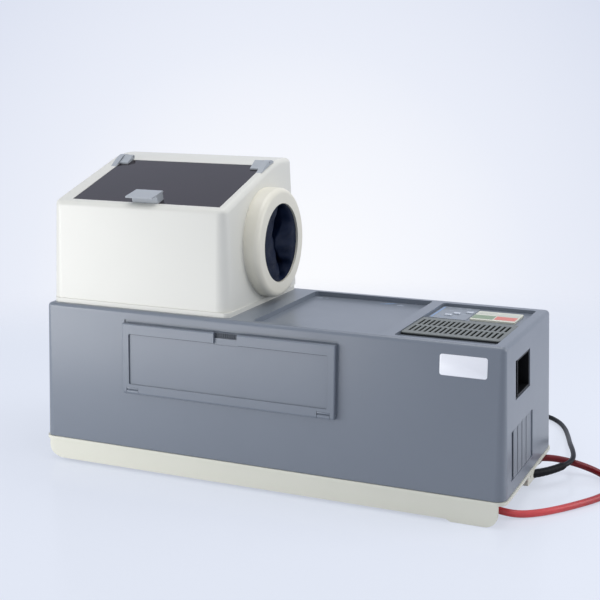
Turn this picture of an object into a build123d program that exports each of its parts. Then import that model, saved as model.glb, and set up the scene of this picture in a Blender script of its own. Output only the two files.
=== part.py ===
from build123d import *
import os
from math import cos, hypot, pi, radians, sin, tan

# Dental x-ray film processor with a daylight loader. Millimetres, +Z up, origin on
# the surface it stands on, below the middle of the machine. Film goes in at the left
# under the loader, through three tanks and a dryer, and comes out at the right end.

os.makedirs("parts", exist_ok=True)

# Cover: the grey drafted shell over the tanks and the dryer
cover_x = 6.0  # middle of the cover, from the middle of the whole machine
cover_length = 646.0
cover_depth = 237.0
cover_height = 186.0
cover_draft = 2.0
cover_corner = 13.0
cover_wall = 3.0
cover_edge = 5.0
rim_skin = 3.3  # thickness of the top wall

# Base tray
pad_height = 3.0
tray_height = 30.0
tray_wall = 3.0
tray_corner = 12.0
lip_height = 4.0
lip_proud = 1.2  # lip beyond the cover
lip_width = 6.0
lip_overhang = 2.0  # lip beyond the tray's wall
bay_length = 68.0  # from the end wall of the tub to the cover's right end
ear_inset = 8.3
ear_wall = 4.0
ear_corner = 16.0
pad_inset = 2.0
pad_slope = 6.0
leg_size = (36.0, 14.0)
foot_radius = 9.0
foot_inset = 38.0

cover_chamfer = 1.0  # at the bottom, a fine dark line above the tray

# Grille plate over the dryer fan
grille_inset = 84.5  # its middle from the right end of the cover
grille_y = -33.5
grille_size = (124.6, 88.0)
grille_corner = 4.0
grille_drop = 1.0  # below the rim
grille_slots = 18
grille_slot = (3.3, 28.5)
grille_rows = (-52.0, -16.5)
grille_side = 3.8  # beyond the slots
grille_seat = (12.6, 12.0)  # smaller than the plate by this, for the air opening
grille_skirt = 2.5

# Recesses in the top of the cover: middle y, depth across, depth down
well_left_form = (-0.25, 201.5, 6.5)
well_right_form = (-2.0, 198.0, 4.5)
well_corner = 5.0
well_wall = 16.0  # rim between the two
well_from_loader = 34.5
grille_to_well = (0.5, 0.7)  # to the right of the grille, and round its ends

# Instruction plate and control overlay, from the middle of the right recess
plate_place = (22.5, 51.0)
plate_size = (59.0, 48.0, 3.0)
overlay_place = (-36.0, 59.5)
overlay_size = (50.0, 70.0, 0.6)
key_size = (9.0, 6.0)
key_places = ((-40.0, 44.0), (-32.0, 56.0), (-17.0, 66.0))
key_names = ("key_start", "key_stop", "key_fill")
key_proud = 1.5
key_travel = 0.6
key_clearance = 0.3

# Front flap over the tank window, measured on the front wall of the cover
flap_x = -43.0
flap_length = 302.0
flap_bottom = 75.3
flap_height = 94.4
flap_thickness = 6.7
flap_gap = 0.35
flap_corner = 1.6
panel_margin = (9.5, 13.5)
panel_depth = 2.0
flap_hollow = 2.6
flap_rim = 7.0
notch_shift = 0.5  # from the middle of the flap
notch_width = 33.0
notch_depth = 4.4
dish_height = 8.5
dish_depth = 2.9
window_size = (268.0, 76.0)
window_rise = 5.0  # bottom of the opening above the flap's hinge
lug_spread = 136.2
lug_width = 17.0
lug_gap = 0.45
flap_pin_radius = 1.2
flap_pin_grip = 4.0
running_clearance = 0.05
groove_depth = 1.5
groove_height = 4.0

# Right end: film window and air vents, measured on the end wall of the cover
exit_y = -32.2
exit_rise = 136.0
exit_size = (69.6, 48.0)
chute_y = -26.9
chute_width = 56.8
chute_gap = 1.0
chute_wall = 2.0
chute_length = 29.0
chute_flange = 4.0
vent_y = -36.0
vent_rise = 47.5
vent_size = (105.0, 61.0)
vent_depth = 1.4
vent_slots = 5
vent_slot = (3.0, 55.0)

# Daylight loader on the left of the cover
loader_inset = 6.5  # from the left end of the cover
loader_y = 9.25
loader_length = 270.0
loader_depth = 222.5
loader_draft = 2.5
loader_corner = 18.0
loader_wall = 3.5
loader_roof = 6.5
loader_edge = 7.5
loader_flange = (12.0, 3.0)
seat_size = (265.5, 209.5, 6.0)
seat_shift = (3.3, -8.0)
seat_ring = 14.0
slope_front = (-98.0, 135.5)  # y, and height above the cover
slope_back = (45.0, 179.5)
crown_end = (105.0, 185.0)

# Hand ports with their collars and sleeves
port_y = 22.6
port_height = 79.6  # above the cover
port_reach = 153.0  # face of each collar from the middle of the loader
collar_radius = 73.5
collar_bore = 53.0
collar_edge = 7.5
spigot_wall = 3.0
spigot_length = 9.0
spigot_clearance = 0.2
sleeve_tip = 30.0
sleeve_length = 70.0
sleeve_wall = 2.0
sleeve_cuff = 6.0  # where the narrowing starts, beyond the loader's wall
sleeve_sunk = 1.5  # below the collar's face

# Tinted lid, hinged at the back and held by a catch at the front
pane_shift = 6.5
pane_front = 12.55  # up the slope
pane_back = 149.4
pane_widths = (220.0, 218.0)
pane_thickness = 3.0
pane_flush = 0.2
pane_gap = 0.5
pane_ledge = 6.0
pane_corner = 4.0
hinge_run = 152.4  # pivot up the slope
hinge_rise = 3.3
hinge_knuckle = 3.0
hinge_pin_radius = 1.2
leaf_size = (13.0, 18.0, 3.6)
cheek_size = (8.0, 52.0, 6.2)
cheek_gap = 0.8
catch_shift = 8.0  # from the middle of the loader
catch_width = 39.0
catch_block = (15.0, 9.6)
catch_cap = (40.0, 29.0, 2.0)
catch_overhang = 14.0
catch_tilt = 5.0
catch_travel = 5.0

# Tanks and transport
tank_inset = 48.0  # from the left end of the cover
tank_length = 355.0
tank_depth = 160.0
tank_top = 150.0
tank_wall = 3.0
tank_cells = 3
cell_floor = 24.0
cell_round = 30.0
rack_y = 70.0
rack_wall = 3.0
rack_rail = 36.0
rack_insets = (31.0, 39.0)  # from the ends of the cover
leg_width = 64.0
leg_bottom = 38.0
roller_z = 168.0
roller_radius = 12.0
journal_radius = 4.0
turn_radius = 20.0
turn_z = 62.0
exit_roller_inset = 22.0  # from the right end of the rack
pulley_radius = 13.0
pulley_width = 9.0
pulley_gap = 11.0  # from the back plate to the pulleys
belt_thickness = 2.0
belt_width = 7.0
belt_clearance = 0.15
motor_inset = 153.0  # from the right end of the cover
motor_z = 130.0
motor_radius = 21.0
motor_length = 45.0
motor_pulley_radius = 9.0
tie_radius = 4.0
tie_inset = 12.0  # from the left end of the dryer hood
motor_nose = 8.0

# Dryer, above the right end of the rack
hood_from_tank = 20.0
hood_thickness = 2.0
heater_size = (96.0, 90.0, 6.0)
heater_rod = 2.2
fan_size = 80.0
fan_height = 15.0
fan_bore = 37.0
hub_radius = 14.0
blade_count = 7
blade_tip = fan_bore - 2.0
blade_width = 7.0
blade_turn = 18.0
fan_hub_base = 2.5
fan_pin = 3.0

# Electronics and water
board_size = (54.0, 74.0, 1.6)
switch_size = (6.0, 3.6)
core_size = (60.0, 46.0, 52.0)
core_rim = 9.0
core_inset = (173.0, -60.0)  # from the right end of the cover, and y
pump_inset = (118.0, 62.0)
pump_radius = 20.0
pump_length = 60.0
pump_lift = 4.0
pump_foot = 12.0  # shorter than the pump by this

# Film guide below the slot in the loader's floor
inlet_flange = (34.0, 156.0, 2.0)
inlet_body = (14.0, 132.0)
inlet_gap = 0.6
inlet_slot = 5.2
inlet_bottom = 184.0

# Mains lead and hose at the right end, from the right end of the cover
clamp_place = (-4.0, 27.0)
clamp_size = (10.0, 34.0)
clamp_shift = (-1.0, -12.0)
clamp_bottom = 15.0
clamp_corner = 2.0
clamp_screw = (7.0, 24.0, 2.2, 4.0)  # y, z, radius, depth
cord_height = 21.0
cord_radius = 3.35
sleeve_radius = 5.15
sleeve_end = (28.0, 73.0, 22.0)
hose_radius = 4.5
spigot_spots = ((-80.0, 15.0), (84.0, 20.0))
spigot_nut = (8.0, 6.0)  # radius, thickness
spigot_reach = 11.0
hose_start = spigot_reach - bay_length
coil_place = (-173.0, 222.0)
coil_radius = 37.0
coil_turns = (2, 3)  # side by side, and one on another

# Places worked out from the sizes above
cover_base = pad_height + tray_height
cover_top = cover_base + cover_height
draft = radians(cover_draft)
cover_inset = cover_height * tan(draft)
cover_right = cover_length / 2
bay_x = cover_right - bay_length
ear_end_x = cover_right - ear_inset
pad_from_x = bay_x + pad_inset
loader_x = loader_inset + loader_length / 2 - cover_right
grille_x = cover_right - grille_inset
grille_hole = (grille_size[0] - grille_seat[0], grille_size[1] - grille_seat[1])
grille_pitch = (grille_size[0] - 2 * grille_side) / grille_slots
well_right = (grille_x + grille_to_well[0], grille_size[0] + 2 * grille_to_well[1], *well_right_form)
left_from = loader_x + loader_length / 2 + well_from_loader
left_to = well_right[0] - well_right[1] / 2 - well_wall
well_left = ((left_from + left_to) / 2, left_to - left_from, *well_left_form)
plate_spot = (well_right[0] + plate_place[0], plate_place[1])
overlay_spot = (well_right[0] + overlay_place[0], overlay_place[1])
key_spots = [(well_right[0] + x, y) for x, y in key_places]
deep_well = max(well_left[4], well_right[4])
ceiling = cover_top - deep_well - rim_skin
rim_ceiling = cover_top - rim_skin
right_ceiling = cover_top - well_right[4] - rim_skin
right_floor = cover_top - well_right[4]
front_wall = Plane(
    origin=(cover_x, -cover_depth / 2, cover_base),
    x_dir=(1, 0, 0),
    z_dir=(0, -cos(draft), sin(draft)),
)
end_wall = Plane(
    origin=(cover_x + cover_length / 2, 0, cover_base),
    x_dir=(0, 1, 0),
    z_dir=(cos(draft), 0, sin(draft)),
)
flap_axis_out = flap_gap + flap_thickness / 2
flap_axis_up = flap_bottom + flap_thickness / 2
lug_radius = flap_thickness / 2
pin_bore = flap_pin_radius + running_clearance
loader_mid = cover_x + loader_x
seat_top = cover_top + seat_size[2]
slope_start = (slope_front[0], cover_top + slope_front[1])
slope_end = (slope_back[0], cover_top + slope_back[1])
slope_run = slope_end[0] - slope_start[0]
slope_climb = slope_end[1] - slope_start[1]
slope_length = hypot(slope_run, slope_climb)
slope_way = (slope_run / slope_length, slope_climb / slope_length)
slope = Plane(
    origin=(loader_mid + pane_shift, slope_start[0], slope_start[1]),
    x_dir=(1, 0, 0),
    z_dir=(0, -slope_way[1], slope_way[0]),
)
port_z = cover_top + port_height
tank_x = tank_inset + tank_length / 2 - cover_right
tank_mid = cover_x + tank_x
rack_left = rack_insets[0] - cover_right
rack_right = cover_right - rack_insets[1]
exit_roller_x = rack_right - exit_roller_inset
motor_x = cover_right - motor_inset
hood_from_x = tank_x + tank_length / 2 + hood_from_tank
core_spot = (cover_right - core_inset[0], core_inset[1])
pump_spot = (cover_right - pump_inset[0], pump_inset[1])
right_end = cover_x + cover_right
cell_length = (tank_length - (tank_cells + 1) * tank_wall) / tank_cells
cell_pitch = cell_length + tank_wall
pulley_start = rack_y + rack_wall + pulley_gap
roller_length = 2 * rack_y - 2
rail_top = tank_top + rack_rail
hood_top = rail_top + hood_thickness
heater_top = hood_top + heater_size[2]
overlay_top = right_floor + overlay_size[2]
switch_top = right_ceiling - 1.5
board_top = switch_top - switch_size[1]


def write_piece(piece, name):
    piece.part.label = name
    export_step(piece.part, f"parts/{name}.step")


def wall_section(x):
    # across the front wall at one place along the machine: out of the wall, then up it
    origin = front_wall.from_local_coords((x, 0, 0))
    return Plane(origin=origin, x_dir=front_wall.z_dir, z_dir=(-1, 0, 0))


def slope_section(x):
    # across the lid at one place along it: up the slope, then out of it
    origin = slope.from_local_coords((x, 0, 0))
    return Plane(origin=origin, x_dir=slope.y_dir, z_dir=(1, 0, 0))


def axle_plane(x, z, y):
    # square to a roller: along the machine, then down
    return Plane(origin=(x, y, z), x_dir=(1, 0, 0), z_dir=(0, 1, 0))


# Base tray: a tub with a rounded left end, and an open bay at the right for the hoses
tub_left = -(cover_length / 2 + lip_proud - lip_overhang)
tub_half_depth = cover_depth / 2 + lip_proud - lip_overhang
tub_round = tray_height - lip_height
lip_bottom = cover_base - lip_height

with BuildPart() as base_tray:
    for inset, top in ((0, cover_base), (tray_wall, cover_base + 1)):
        with BuildSketch(Plane.XZ):
            with BuildLine():
                start = (cover_x + tub_left + inset, lip_bottom)
                turn = (cover_x + tub_left + tub_round, pad_height + inset)
                right = cover_x + bay_x - inset
                RadiusArc(start, turn, -(tub_round - inset))
                Polyline(turn, (right, pad_height + inset), (right, top), (start[0], top), start)
            make_face()
        extrude(
            amount=tub_half_depth - inset,
            both=True,
            mode=Mode.SUBTRACT if inset else Mode.ADD,
        )
    with BuildSketch(Plane.XY):
        with Locations((cover_x, 0)):
            RectangleRounded(-2 * tub_left, 2 * tub_half_depth, tray_corner - lip_overhang)
    extrude(amount=cover_base, mode=Mode.INTERSECT)
    # the ears beside the bay, with the moulded pads that the right end stands on
    for side in (-1, 1):
        with BuildSketch(Plane.XZ.offset(-side * tub_half_depth)):
            with BuildLine():
                low = (cover_x + ear_end_x - ear_corner, 0)
                tip = (cover_x + ear_end_x, ear_corner)
                ear_start = cover_x + bay_x - tray_wall - pad_slope
                pad_start = cover_x + pad_from_x
                Polyline(
                    tip,
                    (tip[0], lip_bottom),
                    (ear_start, lip_bottom),
                    (ear_start, pad_height),
                    (pad_start - pad_slope, pad_height),
                    (pad_start, 0),
                    low,
                )
                RadiusArc(low, tip, -ear_corner)
            make_face()
        extrude(amount=side * ear_wall)
        # a hollow leg behind each ear
        leg_mid = (pad_start + leg_size[0] / 2, side * (tub_half_depth - leg_size[1] / 2))
        with BuildSketch():
            with Locations(leg_mid):
                Rectangle(*leg_size)
        extrude(amount=lip_bottom)
        with BuildSketch(Plane.XY.offset(tray_wall)):
            with Locations(leg_mid):
                Rectangle(leg_size[0] - 2 * tray_wall, leg_size[1] - 2 * ear_wall)
        extrude(amount=lip_bottom, mode=Mode.SUBTRACT)
    # the lip that the cover stands on
    with BuildSketch(Plane.XY.offset(lip_bottom)):
        with Locations((cover_x, 0)):
            lip = (cover_length + 2 * lip_proud, cover_depth + 2 * lip_proud)
            RectangleRounded(*lip, tray_corner)
            RectangleRounded(
                lip[0] - 2 * lip_width,
                lip[1] - 2 * lip_width,
                tray_corner - lip_width,
                mode=Mode.SUBTRACT,
            )
    extrude(amount=lip_height)
    # seats for the rubber feet
    foot_x = cover_x + tub_left + foot_inset
    foot_y = tub_half_depth - foot_inset / 2 - foot_radius
    with BuildSketch(Plane.XY.offset(pad_height)):
        with Locations((foot_x, foot_y), (foot_x, -foot_y)):
            Circle(foot_radius)
    extrude(amount=tray_wall / 2, mode=Mode.SUBTRACT)
write_piece(base_tray, "base_tray")

with BuildPart() as rubber_feet:
    with BuildSketch():
        with Locations((foot_x, foot_y), (foot_x, -foot_y)):
            Circle(foot_radius)
    extrude(amount=pad_height + tray_wall / 2)
    chamfer(rubber_feet.edges().group_by(Axis.Z)[0], pad_height / 4)
write_piece(rubber_feet, "rubber_feet")

# Main cover
inlet_x = tank_mid - tank_cells / 2 * cell_pitch

with BuildPart() as main_cover:
    with BuildSketch(Plane.XY.offset(cover_base)):
        with Locations((cover_x, 0)):
            RectangleRounded(cover_length, cover_depth, cover_corner)
    extrude(amount=cover_height, taper=cover_draft)
    fillet(main_cover.faces().sort_by(Axis.Z)[-1].edges(), cover_edge)
    chamfer(main_cover.faces().sort_by(Axis.Z)[0].edges(), cover_chamfer)
    with BuildSketch(Plane.XY.offset(cover_base)):
        with Locations((cover_x, 0)):
            RectangleRounded(
                cover_length - 2 * cover_wall,
                cover_depth - 2 * cover_wall,
                cover_corner - cover_wall,
            )
    extrude(amount=ceiling - cover_base, taper=cover_draft, mode=Mode.SUBTRACT)
    # the ceiling is higher where the top isn't sunk
    attic_depth = cover_depth - 2 * (cover_inset + cover_wall + 1)
    attic_left = cover_x - cover_length / 2 + cover_inset + cover_wall + 1
    attic_right = cover_x + well_left[0] - well_left[1] / 2 - rim_skin
    with BuildSketch(Plane.XY.offset(ceiling)):
        with Locations(((attic_left + attic_right) / 2, 0)):
            Rectangle(attic_right - attic_left, attic_depth)
    extrude(amount=rim_ceiling - ceiling, mode=Mode.SUBTRACT)
    with BuildSketch(Plane.XY.offset(ceiling)):
        with Locations((cover_x + well_right[0], well_right[2])):
            Rectangle(well_right[1], well_right[3])
    extrude(amount=right_ceiling - ceiling, mode=Mode.SUBTRACT)
    # sunk fields in the top
    for x, length, y, across, down in (well_left, well_right):
        with BuildSketch(Plane.XY.offset(cover_top)):
            with Locations((cover_x + x, y)):
                RectangleRounded(length, across, well_corner)
        extrude(amount=-down, mode=Mode.SUBTRACT)
    # air opening below the grille, film slot below the loader
    with BuildSketch(Plane.XY.offset(cover_top)):
        with Locations((cover_x + grille_x, grille_y)):
            Rectangle(*grille_hole)
        with Locations((inlet_x, 0)):
            Rectangle(inlet_body[0] + 2 * inlet_gap, inlet_body[1] + 2 * inlet_gap)
        with Locations(*[(cover_x + x, y) for x, y in key_spots]):
            Rectangle(key_size[0] + 2 * key_clearance, key_size[1] + 2 * key_clearance)
    extrude(amount=ceiling - cover_top, mode=Mode.SUBTRACT)
    # window behind the front flap, and the groove above the flap
    with BuildSketch(front_wall):
        with Locations((flap_x, flap_axis_up + window_rise + window_size[1] / 2)):
            RectangleRounded(*window_size, well_corner)
    extrude(amount=-3 * cover_wall, mode=Mode.SUBTRACT)
    with BuildSketch(front_wall):
        with Locations((flap_x, flap_bottom + flap_height + groove_height / 2)):
            Rectangle(flap_length + 2 * flap_gap, groove_height)
    extrude(amount=-groove_depth, mode=Mode.SUBTRACT)
    # film window and vents in the right end
    with BuildSketch(end_wall):
        with Locations((exit_y, exit_rise)):
            Rectangle(*exit_size)
        with Locations((vent_y, vent_rise)):
            with GridLocations(vent_size[0] / vent_slots, 0, vent_slots, 1):
                Rectangle(*vent_slot)
    extrude(amount=-3 * cover_wall, mode=Mode.SUBTRACT)
    with BuildSketch(end_wall):
        with Locations((vent_y, vent_rise)):
            Rectangle(*vent_size)
    extrude(amount=-vent_depth, mode=Mode.SUBTRACT)
    # hinge lugs for the flap
    for side in (-1, 1):
        with BuildSketch(wall_section(flap_x + side * lug_spread)):
            with Locations((flap_axis_out, flap_axis_up)):
                Circle(lug_radius)
            with Locations(((flap_axis_out - cover_wall / 2) / 2, flap_axis_up)):
                Rectangle(flap_axis_out + cover_wall / 2, 2 * lug_radius)
            with Locations((flap_axis_out, flap_axis_up)):
                Circle(pin_bore, mode=Mode.SUBTRACT)
        extrude(amount=lug_width / 2, both=True)
    # bosses for the control board
    boss_x = board_size[0] / 2 - 4
    boss_y = board_size[1] / 2 - 4
    with BuildSketch(Plane.XY.offset(board_top)):
        with Locations((cover_x + overlay_spot[0], overlay_spot[1])):
            with GridLocations(2 * boss_x, 2 * boss_y, 2, 2):
                Circle(3)
    extrude(amount=right_ceiling - board_top)
write_piece(main_cover, "main_cover")

# Grille plate
with BuildPart() as vent_grille:
    with BuildSketch(Plane.XY.offset(right_floor)):
        with Locations((cover_x + grille_x, grille_y)):
            RectangleRounded(*grille_size, grille_corner)
    extrude(amount=cover_top - grille_drop - right_floor)
    fillet(vent_grille.edges().group_by(Axis.Z)[-1], 0.8)
    with BuildSketch(Plane.XY.offset(right_floor)):
        with Locations((cover_x + grille_x, grille_y)):
            Rectangle(grille_hole[0] - 0.6, grille_hole[1] - 0.6)
            Rectangle(grille_hole[0] - 4.6, grille_hole[1] - 4.6, mode=Mode.SUBTRACT)
    extrude(amount=-grille_skirt)
    with BuildSketch(Plane.XY.offset(cover_top)):
        for row in grille_rows:
            with Locations((cover_x + grille_x, row)):
                with GridLocations(grille_pitch, 0, grille_slots, 1):
                    Rectangle(*grille_slot)
    extrude(amount=-2 * deep_well, mode=Mode.SUBTRACT)
write_piece(vent_grille, "vent_grille")

with BuildPart() as instruction_plate:
    with BuildSketch(Plane.XY.offset(right_floor)):
        with Locations((cover_x + plate_spot[0], plate_spot[1])):
            RectangleRounded(plate_size[0], plate_size[1], 2)
    extrude(amount=plate_size[2])
    chamfer(instruction_plate.edges().group_by(Axis.Z)[-1], 0.6)
write_piece(instruction_plate, "instruction_plate")

with BuildPart() as control_overlay:
    with BuildSketch(Plane.XY.offset(right_floor)):
        with Locations((cover_x + overlay_spot[0], overlay_spot[1])):
            RectangleRounded(overlay_size[0], overlay_size[1], 2)
        with Locations(*[(cover_x + x, y) for x, y in key_spots]):
            Rectangle(
                key_size[0] + 2 * key_clearance,
                key_size[1] + 2 * key_clearance,
                mode=Mode.SUBTRACT,
            )
    extrude(amount=overlay_size[2])
write_piece(control_overlay, "control_overlay")

# Keys, each with a flange that keeps it below the top wall
for name, spot in zip(key_names, key_spots):
    with BuildPart() as key:
        with BuildSketch(Plane.XY.offset(right_ceiling - 0.2)):
            with Locations((cover_x + spot[0], spot[1])):
                RectangleRounded(*key_size, 1)
        extrude(amount=overlay_top + key_proud - right_ceiling + 0.2)
        fillet(key.edges().group_by(Axis.Z)[-1], 0.5)
        with BuildSketch(Plane.XY.offset(right_ceiling - 0.2)):
            with Locations((cover_x + spot[0], spot[1])):
                Rectangle(key_size[0] + 2, key_size[1] + 2)
        extrude(amount=-0.6)
    write_piece(key, name)

# Control board on the cover's bosses, with a switch below each key
with BuildPart() as control_board:
    with BuildSketch(Plane.XY.offset(board_top)):
        with Locations((cover_x + overlay_spot[0], overlay_spot[1])):
            Rectangle(board_size[0], board_size[1])
    extrude(amount=-board_size[2])
    with BuildSketch(Plane.XY.offset(board_top)):
        with Locations(*[(cover_x + x, y) for x, y in key_spots]):
            Rectangle(switch_size[0], switch_size[0])
    extrude(amount=switch_size[1])
write_piece(control_board, "control_board")

# Front flap: a shallow moulding with a sunk panel, round at its hinged edge
flap_mid_up = flap_bottom + flap_height / 2
lug_spots = [flap_x - lug_spread, flap_x + lug_spread]

with BuildPart() as front_flap:
    with BuildSketch(front_wall.offset(flap_gap)):
        with Locations((flap_x, flap_mid_up)):
            Rectangle(flap_length, flap_height)
    extrude(amount=flap_thickness)
    outward = Axis(front_wall.origin, front_wall.z_dir)
    upward = Axis(front_wall.origin, front_wall.y_dir)
    low_edges = front_flap.edges().filter_by(Axis.X).sort_by(upward)[:2]
    fillet(low_edges, flap_thickness / 2 - 0.02)
    fillet(front_flap.edges().group_by(outward)[-1].sort_by(upward)[1:], flap_corner)
    with BuildSketch(front_wall.offset(flap_gap + flap_thickness)):
        with Locations((flap_x, flap_mid_up)):
            RectangleRounded(flap_length - 2 * panel_margin[0], flap_height - 2 * panel_margin[1], 2)
    extrude(amount=-panel_depth, mode=Mode.SUBTRACT)
    with BuildSketch(front_wall.offset(flap_gap)):
        with Locations((flap_x, flap_mid_up + flap_thickness / 2)):
            Rectangle(flap_length - 2 * flap_rim, flap_height - flap_thickness - 2 * flap_rim)
    extrude(amount=flap_hollow, mode=Mode.SUBTRACT)
    # finger notch in the top edge, with a dish running down into the panel
    notch_top = flap_bottom + flap_height
    for top, height, depth in ((notch_top, flap_rim, notch_depth), (notch_top - flap_rim, dish_height, dish_depth)):
        with BuildSketch(front_wall.offset(flap_gap + flap_thickness)):
            with Locations((flap_x + notch_shift, top - height / 2)):
                Rectangle(notch_width, height)
        extrude(amount=-depth, mode=Mode.SUBTRACT)
    # gaps round the lugs, and holes for the pins
    with BuildSketch(front_wall):
        with Locations(*[(x, flap_bottom + 1.4 * lug_radius) for x in lug_spots]):
            Rectangle(lug_width + 2 * lug_gap, 2.8 * lug_radius)
    extrude(amount=2 * flap_thickness, mode=Mode.SUBTRACT)
    for x in lug_spots:
        with BuildSketch(wall_section(x)):
            with Locations((flap_axis_out, flap_axis_up)):
                Circle(flap_pin_radius)
        extrude(amount=lug_width / 2 + lug_gap + flap_pin_grip, both=True, mode=Mode.SUBTRACT)
write_piece(front_flap, "front_flap")

with BuildPart() as flap_pins:
    for x in lug_spots:
        with BuildSketch(wall_section(x)):
            with Locations((flap_axis_out, flap_axis_up)):
                Circle(flap_pin_radius)
        extrude(amount=lug_width / 2 + lug_gap + flap_pin_grip, both=True)
write_piece(flap_pins, "flap_pins")

# Outlet chute behind the film window
with BuildPart() as outlet_chute:
    chute_outer = (chute_width, exit_size[1] - 2 * chute_gap)
    chute_inner = (chute_width - 2 * chute_wall, chute_outer[1] - 2 * chute_wall)
    with BuildSketch(end_wall.offset(-chute_gap)):
        with Locations((chute_y, exit_rise)):
            Rectangle(*chute_outer)
            Rectangle(*chute_inner, mode=Mode.SUBTRACT)
    extrude(amount=-chute_length)
    with BuildSketch(end_wall.offset(-cover_wall)):
        with Locations((exit_y, exit_rise)):
            Rectangle(exit_size[0] + 2 * chute_flange, exit_size[1] + 2 * chute_flange)
        with Locations((chute_y, exit_rise)):
            Rectangle(*chute_inner, mode=Mode.SUBTRACT)
    extrude(amount=-chute_wall)
write_piece(outlet_chute, "outlet_chute")


# Daylight loader
def loader_form(inset, start_z, roof):
    # the drafted block under the sloping top, inset by a wall and a roof
    with BuildPart() as form:
        with BuildSketch(Plane.XY.offset(start_z)):
            with Locations((loader_mid, loader_y)):
                RectangleRounded(
                    loader_length - 2 * inset,
                    loader_depth - 2 * inset,
                    loader_corner - inset,
                )
        extrude(amount=crown_end[1] + loader_roof + loader_edge, taper=loader_draft)
        with BuildSketch(Plane.YZ.offset(loader_mid)):
            with BuildLine():
                front = slope_start[0] - loader_wall - loader_edge
                front_z = slope_start[1] - (slope_start[0] - front) * slope_climb / slope_run
                crest = Line((front, front_z - roof), (slope_end[0], slope_end[1] - roof))
                crown = TangentArc(
                    crest @ 1, (crown_end[0], cover_top + crown_end[1] - roof), tangent=crest % 1
                )
                back = loader_y + loader_depth / 2 + loader_wall
                fall = TangentArc(crown @ 1, (back, cover_top + crown_end[1] - roof - 3), tangent=crown % 1)
                Polyline(fall @ 1, (back, start_z), (front, start_z), crest @ 0)
            make_face()
        extrude(amount=loader_length / 2, both=True, mode=Mode.INTERSECT)
    return form.part


loader_outer = loader_form(0, seat_top, 0)

with BuildPart() as loader_shell:
    add(loader_outer)
    top_edges = loader_shell.edges().filter_by(lambda e: e.center().Z > slope_start[1] - 12)
    fillet(top_edges.filter_by(lambda e: abs(e.center().Y - slope_end[0]) > 1 or e.length < 100), loader_edge)
    add(loader_form(loader_wall, seat_top + loader_flange[1], loader_roof), mode=Mode.SUBTRACT)
    with BuildSketch(Plane.XY.offset(seat_top)):
        with Locations((loader_mid, loader_y)):
            flange = 2 * (loader_wall + loader_flange[0])
            RectangleRounded(loader_length - flange, loader_depth - flange, loader_corner / 2)
    extrude(amount=2 * loader_flange[1], mode=Mode.SUBTRACT)
    with BuildSketch(Plane.YZ.offset(loader_mid)):
        with Locations((port_y, port_z)):
            Circle(collar_bore + spigot_wall + spigot_clearance)
    extrude(amount=loader_length, both=True, mode=Mode.SUBTRACT)
    # seat and opening for the lid
    for grow, depth in ((pane_gap, pane_thickness + pane_flush), (-pane_ledge, 3 * loader_roof)):
        with BuildSketch(slope):
            with BuildLine():
                half_front, half_back = pane_widths[0] / 2, pane_widths[1] / 2
                Polyline(
                    (-half_front, pane_front),
                    (half_front, pane_front),
                    (half_back, pane_back),
                    (-half_back, pane_back),
                    close=True,
                )
            make_face()
            offset(amount=grow, kind=Kind.INTERSECTION)
        extrude(amount=-depth, mode=Mode.SUBTRACT)
write_piece(loader_shell, "loader_shell")

with BuildPart() as loader_seat:
    with BuildSketch(Plane.XY.offset(cover_top)):
        with Locations((loader_mid + seat_shift[0], loader_y + seat_shift[1])):
            RectangleRounded(seat_size[0], seat_size[1], 8)
            RectangleRounded(seat_size[0] - 2 * seat_ring, seat_size[1] - 2 * seat_ring, 4, mode=Mode.SUBTRACT)
    extrude(amount=seat_size[2])
write_piece(loader_seat, "loader_seat")

# Hand port collars, seated on the drafted walls, and their sleeves
port_wall = loader_length / 2 - (port_z - seat_top) * tan(radians(loader_draft))

for side, end in ((-1, "left"), (1, "right")):
    collar_axis = Plane(origin=(loader_mid, port_y, port_z), x_dir=(0, 1, 0), z_dir=(side, 0, 0))
    with BuildPart() as collar:
        with BuildSketch(collar_axis.offset(port_wall - 2 * loader_wall)):
            Circle(collar_radius)
        extrude(amount=port_reach - port_wall + 2 * loader_wall)
        fillet(collar.edges().sort_by(Axis(collar_axis.origin, collar_axis.z_dir))[-1], collar_edge)
        add(loader_outer, mode=Mode.SUBTRACT)
        with BuildSketch(collar_axis.offset(port_wall - spigot_length)):
            Circle(collar_bore + spigot_wall)
        extrude(amount=spigot_length + 4)
        with BuildSketch(collar_axis):
            Circle(collar_bore)
        extrude(amount=2 * port_reach, mode=Mode.SUBTRACT)
    write_piece(collar, f"collar_{end}")

    with BuildPart() as sleeve:
        mouth = port_reach - sleeve_sunk
        neck = port_wall + sleeve_cuff - spigot_length
        tip = port_wall + sleeve_cuff - sleeve_length
        with BuildSketch(Plane(origin=collar_axis.origin, x_dir=(side, 0, 0), z_dir=(0, -side, 0))):
            with BuildLine():
                rim = collar_bore - 0.3
                Polyline(
                    (mouth, rim),
                    (neck, rim),
                    (tip, sleeve_tip),
                    (tip, sleeve_tip - sleeve_wall),
                    (neck, rim - sleeve_wall),
                    (mouth, rim - sleeve_wall),
                    close=True,
                )
            make_face()
        revolve(axis=Axis(collar_axis.origin, (1, 0, 0)))
    write_piece(sleeve, f"sleeve_{end}")

# Lid
with BuildPart() as lid_pane:
    with BuildSketch(slope.offset(-pane_flush)):
        with BuildLine():
            Polyline(
                (-half_front, pane_front),
                (half_front, pane_front),
                (half_back, pane_back),
                (-half_back, pane_back),
                close=True,
            )
        make_face()
    extrude(amount=-pane_thickness)
    fillet(lid_pane.edges().filter_by(Axis(slope.origin, slope.z_dir)), pane_corner)
write_piece(lid_pane, "lid_pane")

# Lid hinges: cheeks on the shell, leaves on the pane, and a pin through each pair
leaf_spots = [side * (pane_widths[1] / 2 - leaf_size[0] / 2) for side in (-1, 1)]
cheek_spots = [side * (pane_widths[1] / 2 + cheek_gap + cheek_size[0] / 2) for side in (-1, 1)]

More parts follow.
